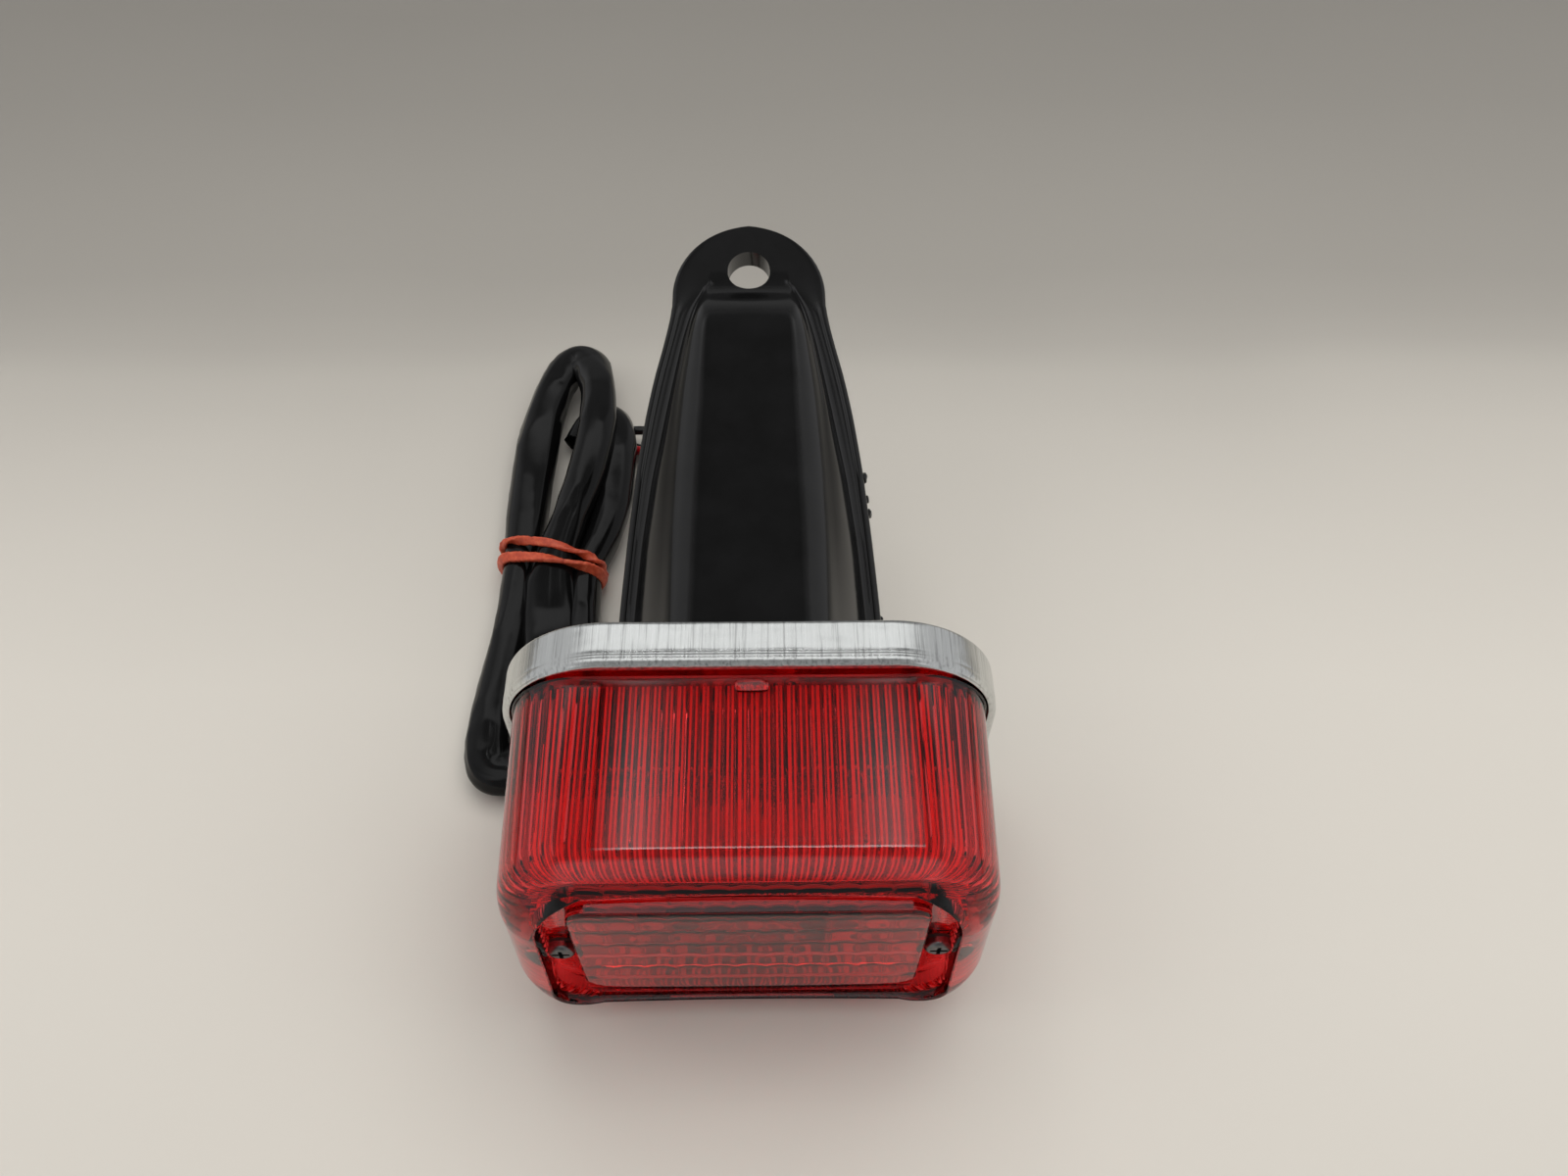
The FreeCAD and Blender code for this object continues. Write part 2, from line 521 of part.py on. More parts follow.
# coil spring behind the disc: closed end turns are left plain
sp0 = V["disc_front"] + V["disc_thick"] + V["spring_wire"] + 0.05
sp1 = V["holder_back"] - V["holder_end_wall"] - V["spring_wire"] - 0.05
pitch = (sp1 - sp0) / V["spring_turns"]
helix = Part.makeHelix(pitch, sp1 - sp0, V["spring_radius"])
start = Vector(V["spring_radius"], 0, 0)
prof = Part.Wire([Part.makeCircle(V["spring_wire"], start, Vector(0, 1, pitch / (2 * math.pi * V["spring_radius"])))])
spring_shape = Part.Wire(helix).makePipeShell([prof], True, True)
spr = doc.addObject("Part::Feature", "spring_feature")
spr.Shape = spring_shape
spr.Placement = Placement(Vector(0, sp0, bz), ALONG_Y)
keep(spr, "contact_spring")

g1 = cyl("grommet_in", V["grommet_bore"] - 0.02, 1.2, 0, V["holder_back"] - V["holder_end_wall"] - 0.2, bz)
g2 = cyl("grommet_out", V["grommet_bore"] + 1.3, 2.6, 0, V["holder_back"], bz, S("grommet_bore") + " + 1.3")
keep(fuse("grommet_fuse", [g1, g2]), "wire_grommet")

# ================================================================ bracket
# modelled in its own inclined frame: x across, y up the slope, z out of the flange's top face
al = math.radians(V["bracket_angle"])
br = new_body("bracket")
tc, tr = V["tab_centre"], V["tab_radius"]
half = [(-8, 26.3), (0, 25.8), (16.5, 25.0), (30, 23.9), (44, 22.5), (55.5, 20.9), (64, 19.3), (71, 17.6), (76.5, 16.4), (80, 15.86)]
sk = sketch(br, "flange_outline", "XY_Plane", (0, 0, 0))
right = [Vector(x, y, 0) for y, x in half]
left = [Vector(-x, y, 0) for y, x in half]
end_r = Vector(tr, tc, 0)
end_l = Vector(-tr, tc, 0)
geo = [Part.LineSegment(left[0], right[0])]
for pts in (right + [end_r],):
    for a, b in zip(pts[:-1], pts[1:]):
        geo.append(Part.LineSegment(a, b))
geo.append(Part.ArcOfCircle(Part.Circle(Vector(0, tc, 0), Vector(0, 0, 1), tr), 0, math.pi))
pts = [end_l] + left[::-1]
for a, b in zip(pts[:-1], pts[1:]):
    geo.append(Part.LineSegment(a, b))
sk.addGeometry(geo, False)
n = len(geo)
for i in range(n):
    sk.addConstraint(Sketcher.Constraint("Coincident", i, 2, (i + 1) % n, 1))
arc_i = len(right) + 1
c = sk.addConstraint(Sketcher.Constraint("Radius", arc_i, tr))
sk.setExpression("Constraints[%d]" % c, S("tab_radius"))
f = pad(br, sk, V["flange_thick"], S("flange_thick"), reverse=True)


def section(name, y, b, tp, low, high, eb=None, et=None, eh=None):
    s = sketch(br, name, "XZ_Plane", (0, 0, -y))
    trapezoid(s, b, tp, low, high, eb, et, eh)
    return s


y_end = V["hood_end"]
s0 = section("hood_a", 0, V["hood_base_half"], V["hood_top_half"], -2.0, V["hood_rise"], "2 * " + S("hood_base_half"), "2 * " + S("hood_top_half"), S("hood_rise"))
s1 = section("hood_b", y_end, V["hood_end_base_half"], V["hood_end_top_half"], -2.0, V["hood_end_rise"], "2 * " + S("hood_end_base_half"), "2 * " + S("hood_end_top_half"), S("hood_end_rise"))
s2 = section("hood_c", y_end + 8.5, 8.4, 7.2, -2.0, 0.35)
lf = br.newObject("PartDesign::AdditiveLoft", "hood_loft")
lf.Profile = s0
lf.Sections = [s1, s2]
lf.Ruled = True
doc.recompute()
if lf.Shape.isNull() or not lf.Shape.isValid():
    raise RuntimeError("hood loft failed")


def is_top(e):
    m = mid(e)
    d = e.valueAt(e.LastParameter) - e.valueAt(e.FirstParameter)
    return m.z > 1.0 and abs(d.y) > 30


tops = edges_where(lf.Shape, is_top)
f = fillet(br, lf, tops, 4.2)
w = V["hood_wall"]
q0 = section("cavity_a", -0.5, V["hood_base_half"] - w, V["hood_top_half"] - w * 0.7, -V["flange_thick"] - 2, V["hood_rise"] - w)
q1 = section("cavity_b", y_end - 3.5, V["hood_end_base_half"] - w + 0.5, V["hood_end_top_half"] - w * 0.7, -V["flange_thick"] - 2, V["hood_end_rise"] - w + 0.4)
before = br.Shape.Volume
lc = br.newObject("PartDesign::SubtractiveLoft", "cavity_loft")
lc.Profile = q0
lc.Sections = [q1]
lc.Ruled = True
doc.recompute()
if not br.Shape.Volume < before - 1000:
    raise RuntimeError("cavity cuts nothing")
# foot plate against the back of the pan, in the pan's own upright plane
tilt = Rotation(Vector(1, 0, 0), -V["bracket_angle"])
b0 = Placement(Vector(0, V["pan_depth"], V["bracket_z"]), Rotation(Vector(1, 0, 0), V["bracket_angle"]))
inv = b0.inverse()


def upright(name, y):
    """Sketch in the bracket body whose plane is the lamp plane y = const; sketch x, y are lamp x, z."""
    s = br.newObject("Sketcher::SketchObject", name)
    s.AttachmentSupport = (origin_plane(br, "XZ_Plane"), [""])
    s.MapMode = "FlatFace"
    want = inv.multiply(Placement(Vector(0, y, 0), Rotation(Vector(1, 0, 0), 90)))
    base = Placement(Vector(0, 0, 0), Rotation(Vector(1, 0, 0), 90))
    s.AttachmentOffset = base.inverse().multiply(want)
    return s


PD = V["pan_depth"]
sk = upright("foot_outline", PD)
fh, fb, ft = V["foot_half"], V["foot_bottom"], V["foot_top"]
th = V["hood_top_half"] + 1.0
polyline(sk, [(-fh + 6, fb), (fh - 6, fb), (fh, fb + 6), (fh, 31), (th, ft), (-th, ft), (-fh, 31), (-fh, fb + 6)])
f = pad(br, sk, V["foot_thick"], S("foot_thick"), reverse=True)
# everything in front of the pan's back face is trimmed off
sk = upright("trim", PD)
polyline(sk, [(-60, -20), (60, -20), (60, 90), (-60, 90)])
pocket(br, sk, 40, reverse=True)
chk = br.Shape.copy()
chk.Placement = b0
low_y = min(v.Y for v in chk.Vertexes)
if abs(low_y - PD) > 0.01:
    raise RuntimeError("bracket trim is off: %.3f" % low_y)
# seating pad round the hole, on the underside
sk = sketch(br, "tab_pad", "XY_Plane", (0, 0, -V["flange_thick"] - V["tab_pad_thick"]))
circle(sk, 0, V["hole_along"], V["tab_pad_radius"], S("tab_pad_radius"))
pad(br, sk, V["tab_pad_thick"] + 0.5)
# bores
sk = sketch(br, "tab_hole", "XY_Plane", (0, 0, 0))
circle(sk, 0, V["hole_along"], V["hole_radius"], S("hole_radius"))
pocket(br, sk, 12, reverse=False)
sk = upright("foot_holes", PD - 1)
circle(sk, 0, bz, V["foot_bore"], S("foot_bore"))
for sx in (-1, 1):
    circle(sk, sx * V["fixing_x"], V["fixing_z"], V["fixing_shank"] + 0.25, S("fixing_shank") + " + 0.25")
pocket(br, sk, V["foot_thick"] + 1.01, reverse=False)
br.Placement = b0

# ================================================================ pan to bracket fixings
fs, fw, fn = [], [], []
fz = V["fixing_z"]
floor_y = V["pan_depth"] - V["pan_wall"]
back_y = PD + V["foot_thick"]
for tag, sx in (("l", -1), ("r", 1)):
    x = sx * V["fixing_x"]
    sh = cyl("fix_shank" + tag, V["fixing_shank"], back_y + 7.0 - floor_y, x, floor_y, fz, S("fixing_shank"))
    hd = cyl("fix_head" + tag, 3.5, 2.2, x, floor_y - 2.2, fz)
    sl = block("fix_slot" + tag, x - 4, x + 4, floor_y - 3, floor_y - 1.3, fz - 0.5, fz + 0.5)
    fs.append(cut("fix_" + tag, fuse("fix_whole" + tag, [sh, hd]), sl))
    t0 = back_y + (0.8 if sx < 0 else 0.0)
    wo = cyl("fix_wo" + tag, 4.0, 0.9, x, t0, fz)
    wi = cyl("fix_wi" + tag, V["fixing_shank"] + 0.05, 3, x, t0 - 1, fz)
    fw.append(cut("fix_washer" + tag, wo, wi))
    hexa = doc.addObject("Part::Prism", "fix_hex" + tag)
    hexa.Polygon = 6
    hexa.Circumradius = V["nut_flats"] / math.sqrt(3)
    hexa.setExpression("Circumradius", S("nut_flats") + " / sqrt(3)")
    hexa.Height = 3.2
    hexa.Placement = Placement(Vector(x, t0 + 0.9, fz), ALONG_Y)
    fn.append(cut("fix_nut" + tag, hexa, cyl("fix_nb" + tag, V["fixing_shank"] + 0.05, 8, x, t0 - 1, fz)))
keep(group("fix_screw_group", fs), "bracket_screws")
keep(group("fix_washer_group", fw), "bracket_screw_washers")
keep(group("fix_nut_group", fn), "bracket_screw_nuts")
xt = -V["fixing_x"]
ring = cyl("terminal_ring", 3.9, 0.8, xt, back_y, fz)
tongue = block("terminal_tongue", xt - 1.5, xt + 1.5, back_y, back_y + 0.8, fz - 8.2, fz)
barrel = cyl("terminal_barrel", 1.7, 7.3, xt, back_y, fz - 6.9)
term = fuse("terminal_fuse", [ring, tongue, barrel])
tb = cyl("terminal_hole", V["fixing_shank"] + 0.05, 4, xt, back_y - 1, fz)
keep(cut("terminal_cut", term, tb), "earth_terminal")


# ================================================================ wiring
def route(points, r, label, minimum=None):
    """Tube along straight runs joined by tangent arcs; prints its radii and checks its volume."""
    P = [Vector(*p) for p in points]
    runs = [(b - a).Length for a, b in zip(P[:-1], P[1:])]
    edges = []
    at = P[0]
    radii = []
    length = 0.0
    for i in range(1, len(P) - 1):
        a = (P[i] - P[i - 1]).normalize()
        b = (P[i + 1] - P[i]).normalize()
        turn = a.getAngle(b)
        if turn < 1e-4:
            raise RuntimeError("points in line in " + label)
        tl = 0.45 * min(runs[i - 1], runs[i])
        rad = tl / math.tan(turn / 2)
        radii.append(round(rad, 1))
        p0, p1 = P[i] - a * tl, P[i] + b * tl
        bis = (b - a).normalize()
        centre = P[i] + bis * math.sqrt(rad * rad + tl * tl)
        m = centre + (P[i] - centre).normalize() * rad
        edges.append(Part.LineSegment(at, p0).toShape())
        edges.append(Part.Arc(p0, m, p1).toShape())
        length += (p0 - at).Length + rad * turn
        at = p1
    edges.append(Part.LineSegment(at, P[-1]).toShape())
    length += (P[-1] - at).Length
    wire = Part.Wire(edges)
    d = (P[1] - P[0]).normalize()
    prof = Part.Wire([Part.makeCircle(r, P[0], d)])
    solid = wire.makePipeShell([prof], True, True)
    want = math.pi * r * r * length
    print("%s: length %.1f, radii %s, volume %.1f of %.1f" % (label, length, radii, solid.Volume, want))
    if abs(solid.Volume - want) > 0.02 * want or not solid.isValid():
        raise RuntimeError("tube %s is wrong" % label)
    o = doc.addObject("Part::Feature", label + "_tube")
    o.Shape = solid
    keep(o, label)
    return length


rl, rs = V["lead_radius"], V["sleeve_radius"]
gy = V["holder_back"] + 2.9
# three leads from the lamp to the sleeve's mouth; the sleeve is tied up beside the lamp
route([(1.5, gy, bz), (1.6, 41.6, 27.4), (1.4, 49.6, 23.5), (0.6, 57.6, 17.0), (-0.5, 66.6, 9.8), (-2.6, 76.6, 5.0),
       (-6.2, 86.6, 3.4), (-12.0, 95.0, 4.0), (-20.0, 100.2, 5.4), (-28.3, 101.6, 6.9)], rl, "lead_black")
route([(-1.5, gy, bz), (-1.5, 40.6, 27.0), (-1.8, 48.6, 22.4), (-2.6, 56.6, 15.6), (-4.2, 65.4, 9.4), (-7.4, 74.2, 6.0),
       (-12.2, 82.6, 5.0), (-17.6, 89.6, 5.1), (-23.0, 93.6, 5.5), (-28.3, 95.2, 6.3)], rl, "lead_red")
route([(xt, back_y + 7.6, fz - 6.9), (-16.4, 27.5, 12.2), (-16.0, 36.5, 8.4), (-15.4, 45.0, 5.0), (-14.8, 54.0, 2.8), (-14.9, 64.0, 1.7),
       (-15.8, 75.0, 1.35), (-18.0, 86.0, 1.4), (-22.6, 94.4, 1.7), (-28.0, 98.0, 2.7)], rl, "lead_earth")

# the tied bundle of sleeving: outer shape with its window
hank = new_body("harness_bundle")
sk = sketch(hank, "bundle_outline", "XY_Plane", (0, 0, V["hank_bottom"]))
sk.setExpression("AttachmentOffset.Base.z", S("hank_bottom"))
polyline(sk, [(-52, 1.5), (-48.4, 4.2), (-47.6, 13.4), (-33.5, 13.8), (-33.5, 50), (-34.4, 54.5), (-34.4, 62.5), (-30.0, 68), (-28.0, 80),
              (-28.9, 92), (-28.9, 105), (-33.5, 111), (-37.5, 119), (-40.5, 128), (-47, 129), (-53.5, 121.5), (-57, 104), (-57.6, 85), (-57.2, 68),
              (-56.6, 62.5), (-56.6, 54.5), (-57.2, 46), (-58.0, 30), (-58.4, 14), (-57.0, 4.5)])
polyline(sk, [(-46.2, 80), (-41.8, 80), (-41.4, 92), (-42.2, 104), (-45.6, 104), (-46.6, 92)])
pad(hank, sk, V["hank_top"] - V["hank_bottom"], S("hank_top") + " - " + S("hank_bottom"))

# rubber band, two turns round the bundle
bands = []
for i, y in enumerate((56.0, 59.2)):
    t, wd = V["band_thick"], V["band_wide"]
    o = block("band_o%d" % i, -56.6 - 0.05 - t, -34.4 + 0.05 + t, y, y + wd, V["hank_bottom"] - 0.05 - t, V["hank_top"] + 0.05 + t)
    q = block("band_i%d" % i, -56.65, -34.35, y - 1, y + wd + 1, V["hank_bottom"] - 0.05, V["hank_top"] + 0.05)
    bands.append(cut("band_%d" % i, o, q))
keep(group("band_group", bands), "rubber_band")

# sleeve's far end and the three tails with their bullet connectors, under the hood
route([(-33.0, 24.0, 5.2), (-20.5, 24.6, 4.3), (-8.0, 29.0, 4.0)], rs, "sleeve_tail")
ex = Vector(-8.0, 29.0, 4.0)
ed = (ex - Vector(-20.5, 24.6, 4.3)).normalize()
side = Vector(-ed.y, ed.x, 0).normalize()
tails = {
    "tail_red": [(1.9, -0.5), [(-1.4, 34.2, 3.0), (3.0, 40.5, 2.4), (3.8, 49.5, 2.4), (3.2, 58.5, 2.4)]],
    "tail_black": [(0.0, 1.3), [(-0.2, 32.0, 4.4), (6.6, 37.0, 2.8), (9.6, 46.0, 2.4), (9.3, 55.5, 2.4)]],
    "tail_earth": [(-1.9, -0.5), [(1.4, 29.4, 2.9), (10.2, 33.4, 2.4), (15.2, 42.0, 2.4), (15.4, 52.0, 2.4)]],
}
for label, ((ds, dz), rest) in tails.items():
    p0 = ex + side * ds + ed * 0.4 + Vector(0, 0, dz)
    L = route([(p0.x, p0.y, p0.z)] + rest, rl, label)
    a, b = Vector(*rest[-2]), Vector(*rest[-1])
    d = (b - a).normalize()
    rot = Rotation(Vector(0, 0, 1), d)
    slv = doc.addObject("Part::Cylinder", label + "_boot")
    slv.Radius, slv.Height = 2.3, 13.0
    slv.Placement = Placement(b, rot)
    bul = doc.addObject("Part::Cylinder", label + "_bullet")
    bul.Radius, bul.Height = 2.0, 6.0
    bul.Placement = Placement(b + d * 13.0, rot)
    tip = doc.addObject("Part::Sphere", label + "_nose")
    tip.Radius = 2.0
    tip.Placement = Placement(b + d * 19.0, rot)
    keep(fuse(label + "_plug", [slv, bul, tip]), "bullet_" + label[5:])

# ================================================================ place, test, write
doc.recompute()
for obj, label in PARTS:
    to_frame(obj)
doc.recompute()
for o in doc.Objects:
    if "Invalid" in o.State or "Error" in o.State:
        raise RuntimeError("%s (%s) failed: %s" % (o.Name, o.Label, o.State))
os.makedirs("parts", exist_ok=True)
for old in os.listdir("parts"):
    os.remove(os.path.join("parts", old))
lo, hi = [1e9] * 3, [-1e9] * 3
LOOSE = ("lead_", "tail_", "sleeve_", "bullet_", "harness_", "rubber_band")
for obj, label in PARTS:
    sh = obj.Shape
    if sh.isNull() or not sh.isValid() or sh.Volume <= 0:
        raise RuntimeError("bad shape: " + label)
    if not label.startswith(LOOSE):
        b = sh.optimalBoundingBox()
        lo = [min(lo[0], b.XMin), min(lo[1], b.YMin), min(lo[2], b.ZMin)]
        hi = [max(hi[0], b.XMax), max(hi[1], b.YMax), max(hi[2], b.ZMax)]
    sh.exportStep("parts/%s.step" % label)
print("object box without the wiring:", [round(q, 3) for q in lo], [round(q, 3) for q in hi])
print(len(PARTS), "sub-parts written")
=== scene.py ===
import bpy
import bmesh
import math
import random
import numpy as np
from mathutils import Matrix, Vector, noise


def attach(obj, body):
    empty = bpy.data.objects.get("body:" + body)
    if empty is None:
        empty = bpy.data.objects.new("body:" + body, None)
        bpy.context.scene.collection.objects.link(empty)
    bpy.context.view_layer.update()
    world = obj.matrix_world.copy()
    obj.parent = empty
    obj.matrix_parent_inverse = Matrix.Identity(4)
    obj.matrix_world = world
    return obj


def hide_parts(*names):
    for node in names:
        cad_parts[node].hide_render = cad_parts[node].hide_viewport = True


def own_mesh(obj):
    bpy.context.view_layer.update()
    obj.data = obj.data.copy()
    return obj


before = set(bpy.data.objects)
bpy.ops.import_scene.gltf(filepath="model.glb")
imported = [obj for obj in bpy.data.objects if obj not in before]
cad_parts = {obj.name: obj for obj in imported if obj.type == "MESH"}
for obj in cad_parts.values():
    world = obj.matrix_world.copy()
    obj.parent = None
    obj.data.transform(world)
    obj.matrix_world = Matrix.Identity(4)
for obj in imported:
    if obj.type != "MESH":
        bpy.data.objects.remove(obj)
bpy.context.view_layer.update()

random.seed(7)
rng = np.random.default_rng(11)
SH = -29.79          # the lamp's own frame (mouth of the pan at y = 0, millimetres) to the row frame


def P(x, y, z):
    return Vector((x / 1000.0, (y + SH) / 1000.0, z / 1000.0))


# ============================================================ camera
th, ps, ro = math.radians(53.75), math.radians(1.34), math.radians(0.67)
look = Vector((math.sin(ps) * math.cos(th), math.cos(ps) * math.cos(th), -math.sin(th)))
right = Vector((math.cos(ps), -math.sin(ps), 0.0))
up = right.cross(look)
c, s = math.cos(ro), math.sin(ro)
cr = c * right + s * up
cu = -s * right + c * up
cam_data = bpy.data.cameras.new("camera")
cam_data.sensor_width = 36.0
cam_data.lens = 28.8
cam_data.clip_start = 0.005
cam_data.clip_end = 50.0
cam = bpy.data.objects.new("camera", cam_data)
m = Matrix((cr, cu, -look)).transposed().to_4x4()
m.translation = P(3.21, -115.3, 233.17)
cam.matrix_world = m
bpy.context.scene.collection.objects.link(cam)
bpy.context.scene.camera = cam


# ============================================================ helpers
def link(o):
    bpy.context.scene.collection.objects.link(o)
    return o


def mesh_object(name, verts, faces, sharp=35.0, smooth=True):
    me = bpy.data.meshes.new(name)
    me.from_pydata([tuple(v) for v in verts], [], faces)
    me.validate()
    o = link(bpy.data.objects.new(name, me))
    bm = bmesh.new()
    bm.from_mesh(me)
    bmesh.ops.recalc_face_normals(bm, faces=bm.faces)
    bm.to_mesh(me)
    bm.free()
    if smooth:
        me.polygons.foreach_set("use_smooth", [True] * len(me.polygons))
        if sharp:
            me.set_sharp_from_angle(angle=math.radians(sharp))
    me.update()
    return o


def loops_object(name, loops, cap_start=False, cap_end=False, sharp=35.0, close=False):
    """Skin over a list of closed loops with equal point counts."""
    n = len(loops[0])
    verts = [p for l in loops for p in l]
    faces = []
    m_ = len(loops)
    for i in range(m_ if close else m_ - 1):
        a, b = i * n, ((i + 1) % m_) * n
        for j in range(n):
            k = (j + 1) % n
            faces.append((a + j, a + k, b + k, b + j))
    if cap_start:
        faces.append(tuple(range(n))[::-1])
    if cap_end:
        faces.append(tuple(range((m_ - 1) * n, m_ * n)))
    return mesh_object(name, verts, faces, sharp)


def principled(name, color=(0.5, 0.5, 0.5), rough=0.4, metal=0.0, **kw):
    mat = bpy.data.materials.new(name)
    mat.use_nodes = True
    nt = mat.node_tree
    b = nt.nodes["Principled BSDF"]
    b.inputs["Base Color"].default_value = (*color, 1.0)
    b.inputs["Roughness"].default_value = rough
    b.inputs["Metallic"].default_value = metal
    for k, v in kw.items():
        b.inputs[k].default_value = v
    return mat, nt, b


def N(nt, kind, **kw):
    n = nt.nodes.new(kind)
    for k, v in kw.items():
        if k in n.inputs:
            n.inputs[k].default_value = v
        else:
            setattr(n, k, v)
    return n


def L(nt, a, b):
    nt.links.new(a, b)


def coords(nt, scale=(1, 1, 1)):
    tc = N(nt, "ShaderNodeTexCoord")
    mp = N(nt, "ShaderNodeMapping")
    mp.inputs["Scale"].default_value = scale
    L(nt, tc.outputs["Object"], mp.inputs["Vector"])
    return mp.outputs["Vector"]


def noise_tex(nt, vec, scale, detail=3.0, rough=0.5, dist=0.0):
    n = N(nt, "ShaderNodeTexNoise")
    n.inputs["Scale"].default_value = scale
    n.inputs["Detail"].default_value = detail
    n.inputs["Roughness"].default_value = rough
    n.inputs["Distortion"].default_value = dist
    L(nt, vec, n.inputs["Vector"])
    return n.outputs["Fac"]


def ramp(nt, fac, stops):
    r = N(nt, "ShaderNodeValToRGB")
    els = r.color_ramp.elements
    while len(els) < len(stops):
        els.new(0.5)
    for e, (p, col) in zip(els, stops):
        e.position = p
        e.color = (*col, 1.0) if len(col) == 3 else col
    L(nt, fac, r.inputs["Fac"])
    return r.outputs["Color"]


def map_range(nt, fac, a, b, lo=0.0, hi=1.0):
    r = N(nt, "ShaderNodeMapRange")
    r.inputs["From Min"].default_value = lo
    r.inputs["From Max"].default_value = hi
    r.inputs["To Min"].default_value = a
    r.inputs["To Max"].default_value = b
    L(nt, fac, r.inputs["Value"])
    return r.outputs["Result"]


def bump(nt, bsdf, height, strength=0.2, distance=0.0001, prev=None):
    b = N(nt, "ShaderNodeBump")
    b.inputs["Strength"].default_value = strength
    b.inputs["Distance"].default_value = distance
    L(nt, height, b.inputs["Height"])
    if prev is not None:
        L(nt, prev, b.inputs["Normal"])
    if bsdf is not None:
        L(nt, b.outputs["Normal"], bsdf.inputs["Normal"])
    return b.outputs["Normal"]


def put(obj, mat):
    obj.data.materials.clear()
    obj.data.materials.append(mat)
    return obj


# ============================================================ materials
def mat_zinc(name, base=(0.66, 0.675, 0.665), streak=True):
    mat, nt, b = principled(name, base, 0.24, 1.0)
    v = coords(nt, (1500, 40, 1500)) if streak else coords(nt, (300, 300, 300))
    fine = noise_tex(nt, v, 1.0, 4.0, 0.65)
    blot = noise_tex(nt, coords(nt, (60, 60, 60)), 1.0, 3.0, 0.5)
    L(nt, ramp(nt, fine, [(0.34, tuple(x * 0.62 for x in base)), (0.46, tuple(x * 0.92 for x in base)), (0.60, base), (0.75, tuple(min(1, x * 1.15) for x in base))]), b.inputs["Base Color"])
    mix = N(nt, "ShaderNodeMath", operation="ADD")
    L(nt, map_range(nt, fine, 0.06, 0.24), mix.inputs[0])
    L(nt, map_range(nt, blot, 0.0, 0.08), mix.inputs[1])
    L(nt, mix.outputs[0], b.inputs["Roughness"])
    bump(nt, b, fine, 0.35, 0.00014)
    return mat


def mat_black_gloss(name, base=0.0045, rough=0.13, spec=0.5, satin_and_painted_shade=False):
    mat, nt, b = principled(name, (base, base, base * 1.02), rough)
    b.inputs["Specular IOR Level"].default_value = spec
    v = coords(nt, (1, 1, 1))
    big = noise_tex(nt, v, 130.0, 4.0, 0.6)
    grain = noise_tex(nt, v, 2600.0, 2.0, 0.5)
    rgh = map_range(nt, big, rough * 0.75, rough * 1.7)
    if satin_and_painted_shade:
        # the hood's top face is rougher, and its reflection is turned down by its facing as painted shade; its sides
        # and rails are polished
        geo = N(nt, "ShaderNodeNewGeometry")
        dot = N(nt, "ShaderNodeVectorMath", operation="DOT_PRODUCT")
        L(nt, geo.outputs["Normal"], dot.inputs[0])
        dot.inputs[1].default_value = (0.0, -math.sin(math.radians(11.9)), math.cos(math.radians(11.9)))
        top = map_range(nt, dot.outputs["Value"], 0.0, 1.0, 0.955, 0.992)
        top_painted_shade_spec = map_range(nt, top, spec, 0.06)
        # the left wall's reflection is turned down as well, picked out by its facing: painted shade
        dl = N(nt, "ShaderNodeVectorMath", operation="DOT_PRODUCT")
        L(nt, geo.outputs["Normal"], dl.inputs[0])
        dl.inputs[1].default_value = (-0.93, -0.08, 0.36)
        left_wall_painted_shade = map_range(nt, dl.outputs["Value"], 1.0, 0.35, 0.86, 0.97)
        mu = N(nt, "ShaderNodeMath", operation="MULTIPLY")
        L(nt, top_painted_shade_spec, mu.inputs[0])
        L(nt, left_wall_painted_shade, mu.inputs[1])
        L(nt, mu.outputs[0], b.inputs["Specular IOR Level"])
        add = N(nt, "ShaderNodeMath", operation="ADD")
        L(nt, rgh, add.inputs[0])
        L(nt, map_range(nt, top, 0.0, 0.22), add.inputs[1])
        rgh = add.outputs[0]
    L(nt, rgh, b.inputs["Roughness"])
    L(nt, ramp(nt, big, [(0.3, (base * 0.8,) * 3), (0.7, (base * 1.4, base * 1.4, base * 1.45))]), b.inputs["Base Color"])
    n1 = bump(nt, None, big, 0.10, 0.0002)
    bump(nt, b, grain, 0.05, 0.00003, n1)
    return mat


def mat_lens(name, base=(0.94, 0.045, 0.050), rough=0.02):
    mat, nt, b = principled(name, base, rough, 0.0)
    b.inputs["Transmission Weight"].default_value = 1.0
    b.inputs["IOR"].default_value = 1.49
    v = coords(nt)
    soft = noise_tex(nt, v, 90.0, 2.0, 0.5)
    L(nt, map_range(nt, soft, rough * 0.6, rough * 1.6), b.inputs["Roughness"])
    bump(nt, b, soft, 0.035, 0.0003)
    return mat


def mat_glass(name, color, rough=0.02, ior=1.49, frost=False):
    mat, nt, b = principled(name, color, rough)
    b.inputs["Transmission Weight"].default_value = 1.0
    b.inputs["IOR"].default_value = ior
    n = noise_tex(nt, coords(nt), 400.0 if frost else 60.0, 3.0)
    L(nt, map_range(nt, n, rough * 0.6, rough * 1.5 + 0.01), b.inputs["Roughness"])
    bump(nt, b, n, 0.15 if frost else 0.03, 0.0001)
    return mat


def mat_plain(name, color, rough, metal=0.0, scale=400.0, amount=0.25, bumps=0.1, spec=None):
    mat, nt, b = principled(name, color, rough, metal)
    if spec is not None:
        b.inputs["Specular IOR Level"].default_value = spec
    n = noise_tex(nt, coords(nt), scale, 4.0, 0.6)
    lo = tuple(c_ * (1 - amount) for c_ in color)
    hi = tuple(min(1.0, c_ * (1 + amount)) for c_ in color)
    L(nt, ramp(nt, n, [(0.3, lo), (0.7, hi)]), b.inputs["Base Color"])
    L(nt, map_range(nt, n, rough * 0.7, min(1.0, rough * 1.35)), b.inputs["Roughness"])
    bump(nt, b, n, bumps, 0.0001)
    return mat


